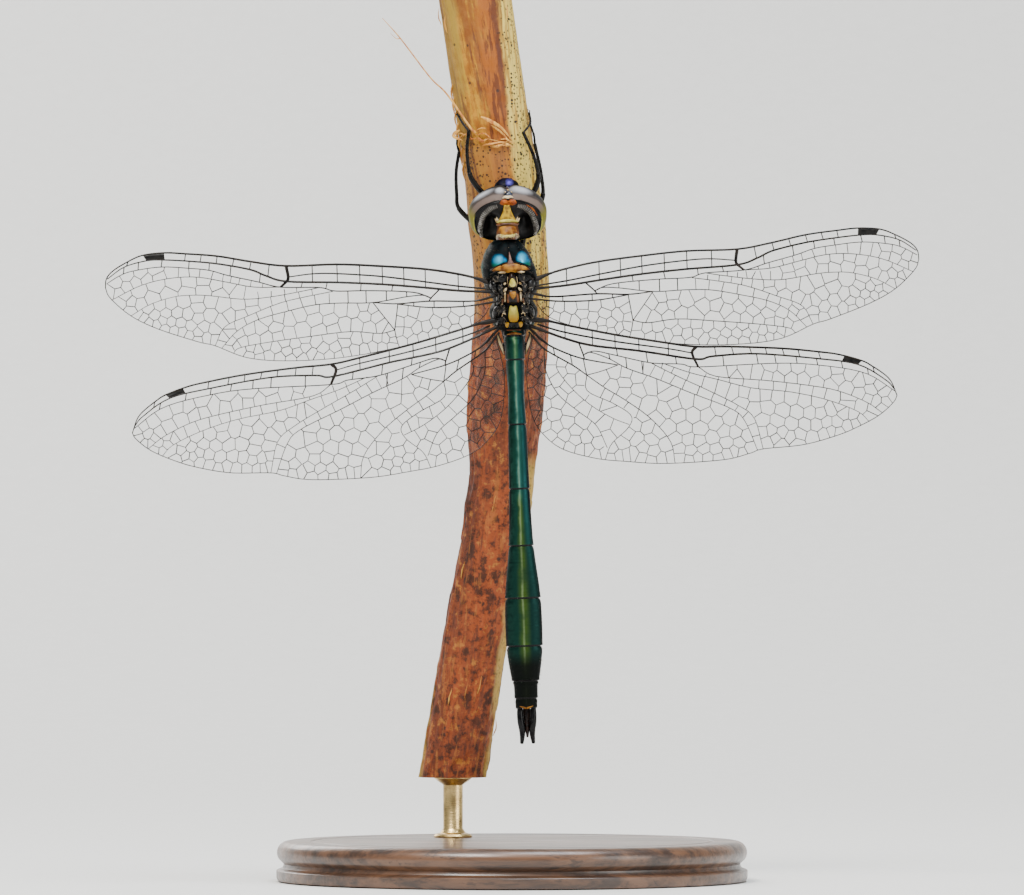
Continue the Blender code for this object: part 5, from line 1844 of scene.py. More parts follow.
def add_abdomen(look):
    """The ten segments, the joints between them, their pale marks and hairs."""
    shape = spline(ABDOMEN_SHAPE, 100)
    rng = random.Random(61)
    for number, (top, bottom) in enumerate(zip(SEGMENT_ENDS, SEGMENT_ENDS[1:]), 1):
        bm = bmesh.new()
        top -= SEGMENT_GAP
        bottom += SEGMENT_GAP
        length = top - bottom
        steps = max(9, round(length / 0.09))
        rings = []
        for k in range(steps + 1):
            height = top - length * k / steps
            from_top, to_end = top - height, height - bottom
            swell = 0.95 + 0.05 * smooth_step(0.0, 0.35, from_top) + 0.02 * smooth_step(0.4, 0.0, to_end)
            swell -= 0.04 * smooth_step(0.08, 0.0, to_end)
            swell += 0.02 * bell(height, EXTRA_RIDGE, 0.08) if number == 3 else 0.0
            swell += 0.004 * math.sin(height * 19.0)
            rings.append(abdomen_ring(shape, height, swell))
        loops = skin(bm, rings)
        dark = [loop for k, loop in enumerate(loops) if top - length * k / steps - bottom < 0.12]
        rim = {vert for loop in dark for vert in loop}
        for face in bm.faces:
            if all(vert in rim for vert in face.verts):
                face.material_index = 1
        if number == 2:
            for side in (-1, 1):
                lump(bm, (side * 0.93, 2.25, -4.15), (0.2, 0.28, 0.4), look=1)
                lump(bm, (side * 0.32, 3.35, -4.6), (0.22, 0.4, 0.42), look=1)
        carried = (f"abdomen_s{number:02d}",)
        piece(f"segment_{number:02d}", bm, BODY_FRAME, [look, black_chitin()], carried)

    bm = bmesh.new()
    for end in SEGMENT_ENDS[1:-1]:
        skin(bm, [abdomen_ring(shape, end + lift, 0.9) for lift in (0.16, 0.0, -0.16)])
    piece("abdomen_joints", bm, BODY_FRAME, [black_chitin()])

    bm = bmesh.new()

    def back_of(x, z, lift=0.0):
        width, depth = value_at(shape, z)
        y = abdomen_axis(z) - depth / 2 * math.sqrt(max(0.05, 1 - (2 * x / width) ** 2))
        return Vector((x, y - lift, z))
    band = [back_of(-0.62 + 1.24 * k / 12, -2.98 - 0.1 * abs(k / 6 - 1) ** 2, 0.04) for k in range(13)]
    tube(bm, band, [0.05, 0.1, 0.12, 0.1, 0.05], 10)
    plate(bm, END_MARK, back_of, 0.05)
    piece("abdomen_marks", bm, BODY_FRAME, [ochre_plate()])

    bm = bmesh.new()
    for _ in range(420):
        z = rng.choice((rng.uniform(-36.2, -30.8), rng.uniform(-5.3, -2.8)))
        width, depth = value_at(shape, z)
        angle = rng.uniform(0, 2 * math.pi)
        out = Vector((math.cos(angle), math.sin(angle), 0))
        if out.y < -0.6:
            continue
        root = Vector((out.x * width / 2, abdomen_axis(z) + out.y * depth / 2, z))
        spike(bm, root, root + (out + Vector((0, 0, -0.8))) * rng.uniform(0.1, 0.22), 0.01)

    def unwrap(p):
        return 0.5 + p.x / 5, (p.z + 37) / 36
    fur("abdomen_hairs", bm, BODY_FRAME, dull_hair(), unwrap)


def add_tail():
    """The claspers at the abdomen's end."""
    end = abdomen_axis(SEGMENT_ENDS[-1])
    for side, letter in SIDES:
        bm = bmesh.new()
        path = spline([(side * x, end + y, z) for x, y, z in CLASPER], 30)
        tube(bm, path, [0.24, 0.27, 0.29, 0.3, 0.27, 0.22, 0.16], 16)
        rng = random.Random(70 + side)
        for k in range(46):
            p = path[4 + k % 24]
            way = Vector((side * rng.uniform(-0.2, 1.0), rng.uniform(-0.5, 0.7), -0.8)).normalized()
            spike(bm, p + way * 0.12, p + way * rng.uniform(0.32, 0.48), 0.012)
        piece("clasper_" + letter, bm, BODY_FRAME, [black_chitin()], ("cercus_" + letter,))
    bm = bmesh.new()
    top = SEGMENT_ENDS[-1] - 0.1
    path = spline([(0, end + 0.5 - 0.1 * k, top - 2.4 * k / 4) for k in range(5)], 20)
    tube(bm, path, [0.42, 0.38, 0.3, 0.2, 0.1], 14)
    piece("lower_clasper", bm, BODY_FRAME, [dark_brown_plate()], ("epiproct",))


# --- perch and legs, in the world ------------------------------------------------------------------
STEM = (                         # height, across, depth, radius
    (80.6, -3.6, 1.3, 3.3), (70.2, -2.1, 2.3, 3.3), (61.4, -0.8, 3.1, 3.35), (51.8, 0.0, 4.0, 3.4),
    (41.6, -0.65, 4.8, 3.35), (34.8, -1.05, 5.3, 2.85), (24.6, -2.8, 6.7, 2.85), (9.0, -5.3, 9.6, 3.05),
)
STEM_CURVE = spline(STEM, 160)
# each leg: its hip in the body frame; thigh, knee and shin in the world; ankle and claw as height and
# degrees on the stem; how far the foot arches off the stem
LEGS = {
    "front_l": ((-0.85, 5.45, 4.1), ((-2.1, -0.1, 60.3), (-3.2, -0.3, 61.9)), (-3.75, -0.35, 62.9),
                ((-4.0, -0.25, 64.9),), (66.75, -39), (68.2, -62), 0.1),
    "front_r": ((0.85, 5.45, 4.1), ((1.5, -0.3, 60.2), (2.2, -0.45, 61.9)), (2.34, -0.45, 62.9),
                ((1.9, -0.5, 64.6),), (66.6, 45), (68.4, 80), 0.4),
    "middle_l": ((-1.25, 5.5, 2.5), ((-1.7, 1.2, 56.9), (-3.0, 1.3, 58.2)), (-4.7, 1.4, 59.85),
                 ((-4.93, 1.5, 61.2), (-4.97, 1.6, 63.2)), (64.9, -72), (66.4, -80), 0.1),
    "middle_r": ((1.25, 5.45, 2.5), ((1.0, 0.9, 57.2), (2.2, 0.7, 59.8)), (2.75, 0.7, 61.1),
                 ((2.56, 1.0, 63.2),), (65.6, 71), (67.3, 76), 0.1),
    "hind_l": ((-1.5, 5.4, 0.9), ((-1.0, -0.35, 50.4),), (-0.5, -0.45, 48.0), ((-0.2, -0.3, 46.8),),
               (45.4, 2.5), (43.4, 6.5), 0.1),
    "hind_r": ((1.5, 5.4, 0.9), ((1.2, -0.35, 50.4),), (0.92, -0.45, 48.0), ((0.7, -0.3, 46.8),),
               (45.3, 18), (43.3, 19), 0.1),
}


def stem_at(height):
    """The stem's middle and radius at a height."""
    across, depth, radius = value_at(STEM_CURVE, height)
    return Vector((across, depth, height)), radius


def on_stem(height, degrees, clearance):
    """A point off the stem's surface; 0 degrees faces -Y and 90 degrees faces +X."""
    middle, radius = stem_at(height)
    angle = math.radians(degrees)
    return middle + (radius + clearance) * Vector((math.sin(angle), -math.cos(angle), 0))


def stem_front(x, z, lift=0.0):
    """The front of the stem at a place in front view."""
    middle, radius = stem_at(z)
    across = max(-0.97, min(0.97, (x - middle.x) / radius))
    return Vector((x, middle.y - radius * math.sqrt(1 - across * across) - lift, z))


def aside(angle, reach, lift=0.0):
    """A step outwards from the stem's middle; the angle is 0 towards -Y and a quarter turn towards +X."""
    return Vector((math.sin(angle) * reach, -math.cos(angle) * reach, lift))


def spines(bm, path, rows, count, length, rng, inward):
    """Rows of bristles along a leg, leaning towards its foot."""
    for row in range(rows):
        for k in range(count):
            share = (k + 0.5 + 0.3 * rng.random()) / count
            place = (len(path) - 1) * share
            i = min(int(place), len(path) - 2)
            root = path[i].lerp(path[i + 1], place - i)
            ahead = (path[i + 1] - path[i]).normalized()
            out = (inward(root) - inward(root).dot(ahead) * ahead).normalized()
            across = ahead.cross(out)
            way = out * (1 if row < 2 else -0.8) + across * (0.8 if row % 2 else -0.8) + ahead * 0.9
            spike(bm, root, root + way.normalized() * length * rng.uniform(0.7, 1.1), 0.022)


def add_leg(name, coxa, thigh, knee, shin, ankle, claw, arch):
    """One leg as a single bent run, parted at its knee and ankle."""
    rng = random.Random(sum(map(ord, name)))
    root = BODY_FRAME @ Vector(coxa)
    heel = on_stem(*ankle, 0.3)
    foot = on_stem(*claw, 0.1)
    sole = (heel + foot) / 2
    sole += arch * (sole - stem_at(sole.z)[0]).normalized()

    def inward(p):
        away = stem_at(p.z)[0] - p
        return Vector((away.x, away.y, 0)).normalized()
    run = spline((root, *thigh, knee, *shin, heel), 56)
    knee_index = min(range(len(run)), key=lambda i: (run[i] - Vector(knee)).length)
    femur, tibia = run[:knee_index + 1], run[knee_index:]
    bm = bmesh.new()
    tube(bm, femur, [0.24, 0.27, 0.27, 0.26, 0.25, 0.24, 0.22], 14)
    lump(bm, root, 0.34)
    spines(bm, femur[4:], 2, 12, 0.22, rng, inward)
    piece(f"leg_{name}_thigh", bm, WORLD_FRAME, [leg_chitin()], (f"leg_{name}_femur",))
    bm = bmesh.new()
    lump(bm, knee, 0.23)
    tube(bm, tibia, [0.19, 0.17, 0.16, 0.155, 0.15, 0.16], 12)
    spines(bm, tibia[2:], 4, 12, 0.36, rng, inward)
    piece(f"leg_{name}_shin", bm, WORLD_FRAME, [leg_chitin()], (f"leg_{name}_tibia",))
    bm = bmesh.new()
    toes = spline((heel, sole, foot), 12)
    lump(bm, heel, 0.15, detail=2)
    for start, end in ((0, 3), (3, 7), (7, 12)):
        tube(bm, toes[start:end + 1], [0.09, 0.1, 0.115], 10)
    ahead = (toes[-1] - toes[-3]).normalized()
    across = ahead.cross(inward(foot)).normalized()
    for side in (-1, 1):
        tip = foot + ahead * 0.34 + across * 0.16 * side
        bend = foot + ahead * 0.2 + across * 0.12 * side - inward(foot) * 0.08
        tube(bm, spline((foot, bend, tip + inward(foot) * 0.08), 8), [0.06, 0.045, 0.02], 8)
    spines(bm, toes, 2, 9, 0.16, rng, inward)
    piece(f"leg_{name}_foot", bm, WORLD_FRAME, [leg_chitin()], (f"leg_{name}_tarsus",))


STEM_GRID = (330, 168)
TORN = (65.55, 71.5)             # the bark is peeled back between these heights, on the left of the front
# each torn fibre: its width and its points as (across, height, lift off the stem's front)
LONG_FLAKES = (
    (0.11, (-3.2, 66.05, 0.0), (-2.6, 65.8, 0.3), (-2.2, 66.0, 0.3), (-1.25, 65.85, 0.15)),
    (0.13, (-2.65, 65.45, 0.2), (-1.9, 65.6, 0.35), (-0.9, 65.75, 0.25), (0.1, 65.75, 0.02)),
    (0.09, (-2.2, 65.5, 0.0), (-1.5, 65.3, 0.2), (-0.8, 65.45, 0.25), (-0.2, 65.3, 0.1)),
    (0.1, (-1.0, 66.0, 0.0), (-0.55, 66.05, 0.2), (-0.3, 65.9, 0.25), (0.25, 65.6, 0.05)),
)
SHORT_FLAKES = (
    (0.09, (-3.5, 66.6, 0.0), (-2.8, 67.0, 0.5), (-2.2, 66.9, 0.55)),
    (0.08, (-3.3, 66.4, 0.0), (-2.4, 66.5, 0.45), (-1.8, 65.9, 0.4)),
    (0.1, (-3.1, 66.2, 0.0), (-2.6, 65.9, 0.35), (-1.9, 66.2, 0.4)),
    (0.12, (-2.3, 65.6, 0.0), (-1.3, 65.4, 0.35), (-0.6, 65.7, 0.2)),
    (0.12, (-0.9, 65.7, 0.0), (-0.3, 65.5, 0.25), (0.2, 65.3, 0.1)),
    (0.2, (-4.7, 66.9, 0.1), (-5.2, 66.4, 0.4), (-4.4, 65.9, 0.5)),
)
LOOSE_STRAND = (
    (-3.3, -1.35, 66.6), (-3.9, -1.7, 67.3), (-5.8, -1.9, 70.0), (-7.3, -2.1, 71.5), (-9.9, -2.4, 74.9),
    (-11.5, -2.5, 76.7),
)


def peeled(angle, height):
    """How far the bark is torn away, from 0 to 1."""
    left = smooth_step(-1.05, -0.9, angle) * smooth_step(0.15, 0.0, angle)
    edge = TORN[0] + 0.25 * noise.noise(Vector((angle * 5, 0, 3.0)))
    return left * smooth_step(edge, edge + 0.12, height) * smooth_step(TORN[1], TORN[1] - 4.0, height)


def bark_depth(angle, height):
    """How far the bark stands off the stem's plain form."""
    c, s = math.cos(angle), math.sin(angle)
    ridge = noise.noise(Vector((c * 3.4, s * 3.4, height * 0.03)))
    cord = noise.noise(Vector((c * 11.0, s * 11.0, height * 0.05 + 7)))
    thread = noise.noise(Vector((c * 24.0, s * 24.0, height * 0.09 + 3)))
    rough = noise.noise(Vector((c * 7.0, s * 7.0, height * 0.8)))
    crack = max(0.0, noise.noise(Vector((c * 5.0, s * 5.0, height * 0.045 + 21))) - 0.22)
    lower = smooth_step(53.0, 46.0, height)
    flake = smooth_step(0.08, 0.16, noise.noise(Vector((c * 4.0, s * 4.0, height * 0.2 + 40))))
    knot = 0.28 * bell(height, 33.5, 1.3) + 0.16 * bell(height, 58.5, 1.6)
    depth = 0.1 * ridge + 0.06 * cord + 0.028 * thread + (0.03 + 0.05 * lower) * rough - 0.55 * crack
    return depth + 0.1 * flake * lower + knot * (0.6 + ridge) - 0.16 * peeled(angle, height)


def add_stem(look):
    """The ragged bark and the pith at the two cut ends."""
    bm = bmesh.new()
    top, bottom = STEM[0][0], STEM[-1][0]
    steps, sides = STEM_GRID
    angles = [2 * math.pi * j / sides - math.pi for j in range(sides)]
    rings = []
    for k in range(steps + 1):
        height = top + (bottom - top) * k / steps
        middle, radius = stem_at(height)
        ring = []
        for angle in angles:
            reach = radius - 0.04 + bark_depth(angle, height)
            if height > top - 0.5:
                reach -= 0.25 * (height - top + 0.5) ** 2
            lift = 0.18 * noise.noise(Vector((angle * 4, 1.0, 0))) if k == 0 else 0.0
            ring.append(middle + aside(angle, reach, lift - 0.2 * (k == 0)))
        rings.append(ring)
    loops = skin(bm, rings, caps=(False, False))
    for last, height in ((loops[0], top), (loops[-1], bottom)):
        middle, radius = stem_at(height)
        for share in (0.86, 0.72, 0.5, 0.25):
            sunk = -0.05 if height < top else 0.3 if share < 0.6 else 0.12
            ring = []
            for angle in angles:
                across, along = math.sin(angle) * share * 6, math.cos(angle) * share * 6
                dip = 0.12 * noise.noise(Vector((across, along, height)))
                ring.append(bm.verts.new(middle + aside(angle, radius * share, dip - sunk)))
            bridge(bm, last, ring, 1)
            last = ring
        bm.faces.new(last).material_index = 1
    piece("stem_bark", bm, WORLD_FRAME, [look, stem_pith()], ("perch_stem",), sharp=70)


def strip(bm, path, wide, thick, rng, waves=0.0):
    """A torn fibre: a thin tapered strip with a ragged run."""
    run = spline(path, 4 * len(path))
    shaken = [p + Vector((rng.uniform(-1, 1), rng.uniform(-1, 1), rng.uniform(-1, 1))) * waves for p in run]
    widths = [wide * share for share in (0.35, 1, 0.9, 0.6, 0.12)]
    tube(bm, shaken, widths, 6, flatness=thick, across=(0.7, 0.1, 0.7))


def add_torn_fibres():
    """The torn bark below the peeled place, loose fibres all over and the long loose strand."""
    bm = bmesh.new()
    rng = random.Random(83)

    def flake(places, wide, thick, waves):
        strip(bm, [stem_front(*place) for place in places], wide, thick, rng, waves)
    flake(((-2.75, 68.0, 0.45), (-1.9, 67.6, 0.5), (-0.95, 67.0, 0.35), (0.1, 65.8, 0.02)), 0.17, 0.45, 0.02)
    flake(((-1.9, 67.3, 0.3), (-1.3, 66.9, 0.32), (-0.6, 66.3, 0.2), (-0.1, 65.6, 0.02)), 0.1, 0.5, 0.03)
    for wide, *places in LONG_FLAKES:
        flake(places, wide, 0.45, 0.025)
    for k in range(5):
        x = -5.0 + 2.4 * k / 9
        z = 66.1 + rng.uniform(-0.35, 0.5)
        rises = (rng.uniform(-0.2, 0.3), rng.uniform(-0.3, 0.4))
        places = ((x, z - 0.2, 0.02), (x + 0.35, z + rises[0], 0.35), (x + 0.9, z + rises[1], 0.3))
        flake(places, rng.uniform(0.07, 0.15), 0.4, 0.03)
    for wide, *places in SHORT_FLAKES:
        flake(places, wide, 0.45, 0.03)
    for k in range(7):
        z = 71.0 - k * 1.15
        middle, radius = stem_at(z)
        x = middle.x - radius * 0.93
        places = ((x, z, 0.02), (x - 0.12, z - 0.8, 0.18), (x + 0.05, z - 1.7, 0.05))
        flake(places, rng.uniform(0.09, 0.15), 0.4, 0.02)
    for k in range(26):
        z = rng.uniform(12, 79)
        radius = stem_at(z)[1]
        angle = rng.uniform(-math.pi, math.pi)
        path = []
        for share in (0.0, 0.5, 1.0):
            reach = radius + 0.02 + 0.16 * math.sin(math.pi * share)
            path.append(stem_at(z + 1.6 * share)[0] + aside(angle + 0.04 * share, reach))
        strip(bm, path, rng.uniform(0.04, 0.08), 0.5, rng, 0.015)
    piece("stem_torn_fibres", bm, WORLD_FRAME, [torn_fibre()])

    bm = bmesh.new()
    tube(bm, spline(LOOSE_STRAND, 40), [0.18, 0.15, 0.12, 0.1, 0.09, 0.04], 8, flatness=0.6)
    side = spline(((-9.9, -2.4, 74.9), (-10.3, -2.5, 74.9), (-10.8, -2.6, 75.4)), 8)
    tube(bm, side, [0.05, 0.015], 6)
    piece("stem_loose_strand", bm, WORLD_FRAME, [torn_fibre()])


# --- stand, on a floor at height 0 -----------------------------------------------------------------
DISC_EDGE = 1.0                  # how far the rounded edge of the disc reaches in
DISC_GROOVE = ((3.0, 0), (3.1, 0.08), (3.3, 0.08), (3.4, 0))        # (inset from the edge, depth)
PIN_FOOT = ((1.7, 0), (1.75, 0.12), (1.6, 0.3), (1.15, 0.42))       # (radius, height over the disc)
PIN_HEAD = ((0.12, -0.6), (0.5, -0.35), (0.8, -0.1), (0.8, 0.04))   # (swell, height from the stem's end)


def lathe(name, profile, centre, sides, look, replaced):
    """A turned piece from a profile of (radius, height)."""
    bm = bmesh.new()
    skin(bm, [level_oval(centre.y, z, r, r, sides, x=centre.x) for r, z in profile])
    piece(name, bm, WORLD_FRAME, [look], (replaced,), sharp=35)


def radius_of(solid):
    """Half a CAD node's width, in millimetres."""
    low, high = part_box(solid)
    return (high.x - low.x) / 2 * TO_MM


def add_stand(wood):
    """The turned wooden disc and the brass pin."""
    radius = radius_of("stand_base")
    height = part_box("stand_base")[1].z * TO_MM
    profile = [(radius - 0.5, 0.0), (radius - 0.12, 0.12), (radius, 0.4)]
    profile += [(radius - 0.28 + 0.28 * math.cos(a * math.pi / 6), 1.0 + 0.05 * a) for a in range(7)]
    profile += [(radius - 0.62, 1.42), (radius - 0.66, 1.6)]
    for degrees in range(-38, 91, 8):
        turn = math.radians(degrees)
        out = radius - DISC_EDGE - 0.05 + DISC_EDGE * math.cos(turn)
        profile.append((out, height - DISC_EDGE + DISC_EDGE * math.sin(turn)))
    profile += [(radius - inset, height - sunk) for inset, sunk in DISC_GROOVE]
    profile += [(radius * 0.5, height), (1.0, height)]
    lathe("stand_disc", profile, Vector(), 168, wood, "stand_base")

    thick = radius_of("stand_rod")
    top = STEM[-1][0]
    profile = [(r, height + rise) for r, rise in PIN_FOOT]
    profile += [(thick + 0.12, height + 0.62), (thick, height + 0.8), (thick, top - 0.7)]
    profile += [(thick + more, top + rise) for more, rise in PIN_HEAD]
    rod = middle_of("stand_rod")
    lathe("stand_pin", profile, rod, 64, brushed_brass(), "stand_rod")


# --- studio --------------------------------------------------------------------------------------
CAMERA_AWAY = 1.0
SWEEP_START = 0.25
SWEEP_BEND = 0.5
CAMERA_HEIGHT = 0.0386
VIEW_WIDTH = 0.0911
SENSOR = 36.0
SWEEP_DEPTH, SWEEP_SIDE, SWEEP_TOP = -2.2, 2.6, 2.2
LIGHT_AIM = (0, 0, 0.045)
WARM_WHITE = (1.0, 0.98, 0.95)
# each lamp: its place, its size, its share of the power and its colour
LAMPS = {
    "key_light": ((-0.22, -0.42, 0.62), 0.3, 1.0, (1.0, 0.97, 0.93)),
    "sky_light": ((0.16, -0.16, 0.75), 0.4, 0.8, (0.86, 0.93, 1.0)),
    "side_light": ((0.7, -0.45, 0.25), 0.5, 0.45, WARM_WHITE),
    "back_light": ((-0.3, 0.6, 0.4), 0.4, 0.35, WARM_WHITE),
}


def add_light(name, place, size, power, colour):
    """A soft round lamp that looks at the model."""
    data = bpy.data.lights.new(name, "AREA")
    data.shape = "DISK"
    data.size = size
    data.energy = power
    data.color = colour
    lamp = link_object(name, data)
    lamp.location = place
    lamp.rotation_euler = (Vector(LIGHT_AIM) - Vector(place)).to_track_quat("-Z", "Y").to_euler()


def add_stage(power, surround):
    """The pale sweep, the air, the lamps and the camera."""
    scene = bpy.context.scene
    bm = bmesh.new()
    profile = [(SWEEP_DEPTH, 0.0), (SWEEP_START, 0.0)]
    for k in range(1, 25):
        angle = 0.5 * math.pi * k / 24
        profile.append((SWEEP_START + SWEEP_BEND * math.sin(angle), SWEEP_BEND * (1 - math.cos(angle))))
    profile.append((SWEEP_START + SWEEP_BEND, SWEEP_TOP))
    rows = [[bm.verts.new((x, y, z)) for y, z in profile] for x in (-SWEEP_SIDE, SWEEP_SIDE)]
    for k in range(len(profile) - 1):
        bm.faces.new((rows[0][k], rows[1][k], rows[1][k + 1], rows[0][k + 1]))
    mesh = bpy.data.meshes.new("studio_sweep")
    bm.to_mesh(mesh)
    bm.free()
    mesh.materials.append(studio_paper())
    mesh.shade_smooth()
    link_object("studio_sweep", mesh)

    world = bpy.data.worlds.new("studio_air")
    world.use_nodes = True
    air = world.node_tree.nodes["Background"]
    air.inputs["Color"].default_value = (0.93, 0.96, 1.0, 1.0)
    air.inputs["Strength"].default_value = surround
    scene.world = world
    for name, (place, size, share, colour) in LAMPS.items():
        add_light(name, place, size, power * share, colour)

    data = bpy.data.cameras.new("studio_camera")
    data.sensor_width = SENSOR
    data.lens = SENSOR * CAMERA_AWAY / VIEW_WIDTH
    data.clip_start = 0.01
    data.clip_end = 10.0
    camera = link_object("studio_camera", data)
    camera.location = (0.0, -CAMERA_AWAY, CAMERA_HEIGHT)
    camera.rotation_euler = (math.pi / 2, 0.0, 0.0)
    scene.camera = camera


# --- settings ------------------------------------------------------------------------------------
def number_of(name, text, default, **more):
    return bpy.props.FloatProperty(name=name, description=text, default=default, min=0.0, **more)


def length_of(name, text, default):
    return number_of(name, text, default, unit="LENGTH", precision=6)


def tint_of(name, text, default):
    return bpy.props.FloatVectorProperty(
        name=name, description=text, default=default, subtype="COLOR", size=3, min=0.0, max=1.0)


class WingSettings(bpy.types.PropertyGroup):
    """Sizes and colours of the wings"""
    vein: length_of("Costa thickness", "Thickness of the leading vein at its root", 0.00024)
    cell: length_of("Cell size", "Typical width of the cells between the veins", 0.00092)
    tint: tint_of("Film tint", "Colour of the wing's membrane", (0.86, 0.84, 0.74))
    cover: number_of("Film cover", "How much the membrane hides what lies behind it", 0.014, max=1.0,
                     subtype="FACTOR")


class HeadSettings(bpy.types.PropertyGroup):
    """Colours of the head"""
    # painted reflection: the silver grey of the spots painted on the upper eye
    eye_sheen_tint: tint_of("Eye top", "Silver grey of the upper eye", (0.4, 0.4, 0.42))
    eye_rear: tint_of("Eye rear", "Pinkish brown of the eye's rear", (0.13, 0.095, 0.08))
    eye_side: tint_of("Eye side", "Yellow-green of the eye's side", (0.16, 0.145, 0.007))


class TrunkSettings(bpy.types.PropertyGroup):
    """Colours and hair of the thorax"""
    # painted sheen: the turquoise of the shine patches on the thorax front
    patch: tint_of("Shoulder patch", "Turquoise of the two shoulder patches", (0.006, 0.2, 0.5))
    side: tint_of("Flank", "Green-bronze of the flanks", (0.003, 0.028, 0.022))
    hair_count: bpy.props.IntProperty(
        name="Hair count", description="Number of fine hairs on the thorax", default=800, min=0)
    hair: length_of("Hair length", "Length of the longest thorax hairs", 0.0004)


class AbdomenSettings(bpy.types.PropertyGroup):
    """Colours of the abdomen"""
    green: tint_of("Green", "Metallic green of the abdomen", (0.006, 0.036, 0.025))
    # painted highlight: the bright green of the band painted down the back
    sheen_stripe: tint_of("Back stripe", "Bright green along the middle of the back", (0.035, 0.14, 0.09))
    # painted sheen: the blue-green painted on the right side of the abdomen
    shine: tint_of("Side shine", "Blue-green beside the stripe", (0.008, 0.044, 0.054))


class StemSettings(bpy.types.PropertyGroup):
    """Colours of the dry stem"""
    upper: tint_of("Upper bark", "Straw orange of the upper bark", (0.5, 0.225, 0.001))
    lower: tint_of("Lower bark", "Rust red of the lower bark", (0.28, 0.05, 0.004))
    pale: tint_of("Bleached bark", "Pale side of the upper bark", (0.64, 0.47, 0.09))


class StandSettings(bpy.types.PropertyGroup):
    """Colour of the stand"""
    wood: tint_of("Wood", "Colour of the turned base", (0.12, 0.055, 0.026))


class StudioSettings(bpy.types.PropertyGroup):
    """Strength of the light"""
    lamps: number_of("Lamp power", "Power of the key light", 8.0, subtype="POWER", unit="POWER")
    air: number_of("Surrounding light", "Strength of the light from all round", 0.4)


SETTINGS = {
    "dragonfly_wings": WingSettings, "dragonfly_head": HeadSettings, "dragonfly_trunk": TrunkSettings,
    "dragonfly_abdomen": AbdomenSettings, "dragonfly_stem": StemSettings, "dragonfly_stand": StandSettings,
    "dragonfly_studio": StudioSettings,
}


# --- operators -----------------------------------------------------------------------------------
class BuildStage(bpy.types.Operator):
    """Add the pale sweep, the soft lights and the camera"""
    bl_idname = "dragonfly.build_stage"
    bl_label = "Build Studio"

    def execute(self, context):
        given = context.scene.dragonfly_studio
        add_stage(given.lamps, given.air)
        return {"FINISHED"}


class BuildStand(bpy.types.Operator):
    """Add the turned wooden disc and its brass pin"""
    bl_idname = "dragonfly.build_stand"
    bl_label = "Build Stand"

    def execute(self, context):
        add_stand(turned_wood(tuple(context.scene.dragonfly_stand.wood)))
        return {"FINISHED"}


class BuildStem(bpy.types.Operator):
    """Add the dry stem, its torn fibres and its loose strand"""
    bl_idname = "dragonfly.build_stem"
    bl_label = "Build Stem"

    def execute(self, context):
        given = context.scene.dragonfly_stem
        add_stem(bark_skin(tuple(given.upper), tuple(given.lower), tuple(given.pale)))
        add_torn_fibres()
        return {"FINISHED"}


class BuildWings(bpy.types.Operator):
    """Add the four wings: membranes, veins, stigmas and foot flaps"""
    bl_idname = "dragonfly.build_wings"
    bl_label = "Build Wings"

    def execute(self, context):
        given = context.scene.dragonfly_wings
        seed = FIRST_WING_SEED
        for pair in WINGS:
            for side, letter in SIDES:
                wing = Wing(pair, side)
                name = f"wing_{pair}_{letter}"
                add_film(wing, name, tuple(given.tint), given.cover)
                add_veins(wing, name, given.vein * TO_MM, given.cell * TO_MM, seed)
                add_stigma(wing, name)
                if pair == "hind":
                    add_flap(wing, name)
                seed += 1
        return {"FINISHED"}


class BuildHead(bpy.types.Operator):
    """Add the eyes, the face, the vertex, the back of the head and the feelers"""
    bl_idname = "dragonfly.build_head"
    bl_label = "Build Head"

    def execute(self, context):
        given = context.scene.dragonfly_head
        look = eye_shell(tuple(given.eye_sheen_tint), tuple(given.eye_rear), tuple(given.eye_side))
        for side, letter in SIDES:
            add_eye(side, letter, look)
        add_head_rear()
        add_vertex()
        add_face()
        return {"FINISHED"}


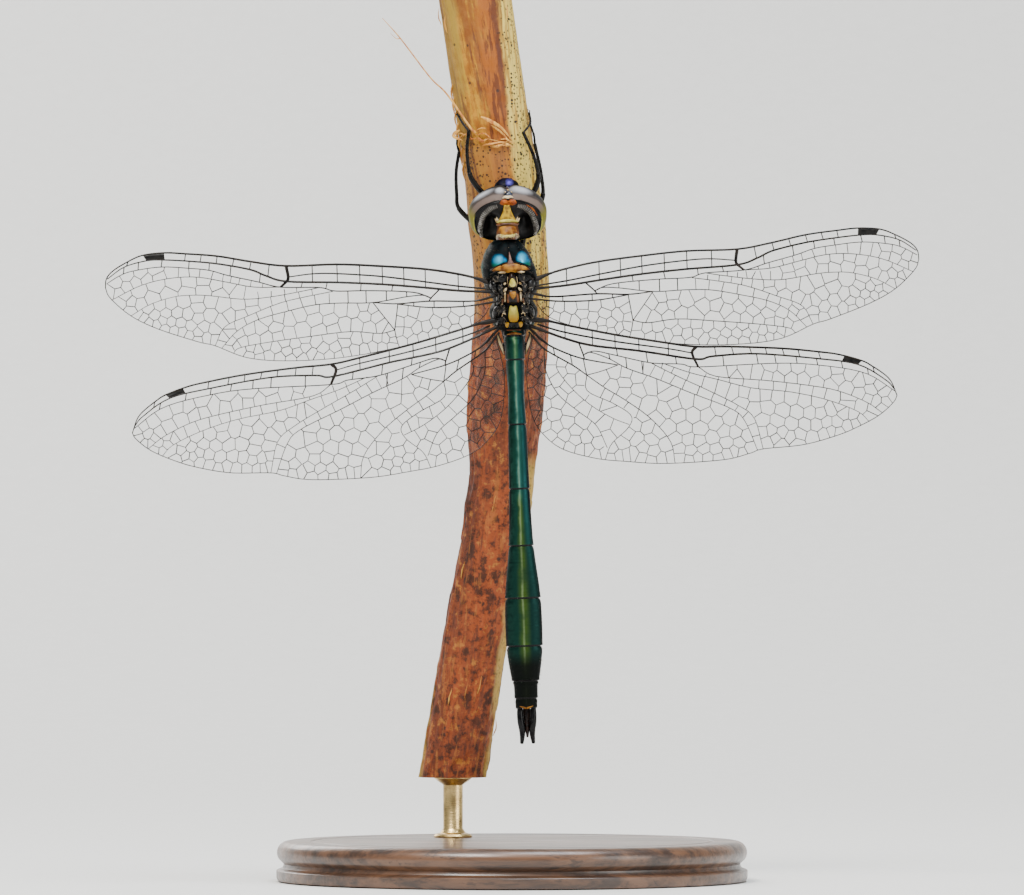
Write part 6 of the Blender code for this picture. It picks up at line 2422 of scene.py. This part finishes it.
class BuildTrunk(bpy.types.Operator):
    """Add the neck, the prothorax and the thorax with its plates and hairs"""
    bl_idname = "dragonfly.build_trunk"
    bl_label = "Build Thorax"

    def execute(self, context):
        given = context.scene.dragonfly_trunk
        add_neck()
        add_thorax(thorax_metal(tuple(given.patch), tuple(given.side)))
        add_thorax_plates()
        add_thorax_hairs(given.hair_count, given.hair * TO_MM)
        return {"FINISHED"}


class BuildAbdomen(bpy.types.Operator):
    """Add the ten abdomen segments, their joints and the claspers"""
    bl_idname = "dragonfly.build_abdomen"
    bl_label = "Build Abdomen"

    def execute(self, context):
        given = context.scene.dragonfly_abdomen
        add_abdomen(abdomen_metal(tuple(given.green), tuple(given.sheen_stripe), tuple(given.shine)))
        add_tail()
        return {"FINISHED"}


class BuildLegs(bpy.types.Operator):
    """Add the six legs with their bristles and claws"""
    bl_idname = "dragonfly.build_legs"
    bl_label = "Build Legs"

    def execute(self, context):
        for name, places in LEGS.items():
            add_leg(name, *places)
        return {"FINISHED"}


BUILDERS = (BuildStand, BuildStem, BuildAbdomen, BuildTrunk, BuildLegs, BuildHead, BuildWings, BuildStage)


class DragonflyPanel(bpy.types.Panel):
    """Buttons that build each part of the model"""
    bl_idname = "VIEW3D_PT_dragonfly"
    bl_label = "Dragonfly"
    bl_space_type = "VIEW_3D"
    bl_region_type = "UI"
    bl_category = "Dragonfly"

    def draw(self, context):
        for name, kind in SETTINGS.items():
            box = self.layout.box()
            box.label(text=kind.__doc__)
            for key in kind.__annotations__:
                box.prop(getattr(context.scene, name), key)
        for builder in BUILDERS:
            self.layout.operator(builder.bl_idname)


def register():
    for name, kind in SETTINGS.items():
        bpy.utils.register_class(kind)
        setattr(bpy.types.Scene, name, bpy.props.PointerProperty(type=kind))
    for kind in (*BUILDERS, DragonflyPanel):
        bpy.utils.register_class(kind)


def unregister():
    for kind in (DragonflyPanel, *reversed(BUILDERS)):
        bpy.utils.unregister_class(kind)
    for name, kind in reversed(SETTINGS.items()):
        delattr(bpy.types.Scene, name)
        bpy.utils.unregister_class(kind)


def main():
    register()
    for builder in BUILDERS:
        group_name, operator = builder.bl_idname.split(".")
        getattr(getattr(bpy.ops, group_name), operator)()


if __name__ == "__main__":
    main()
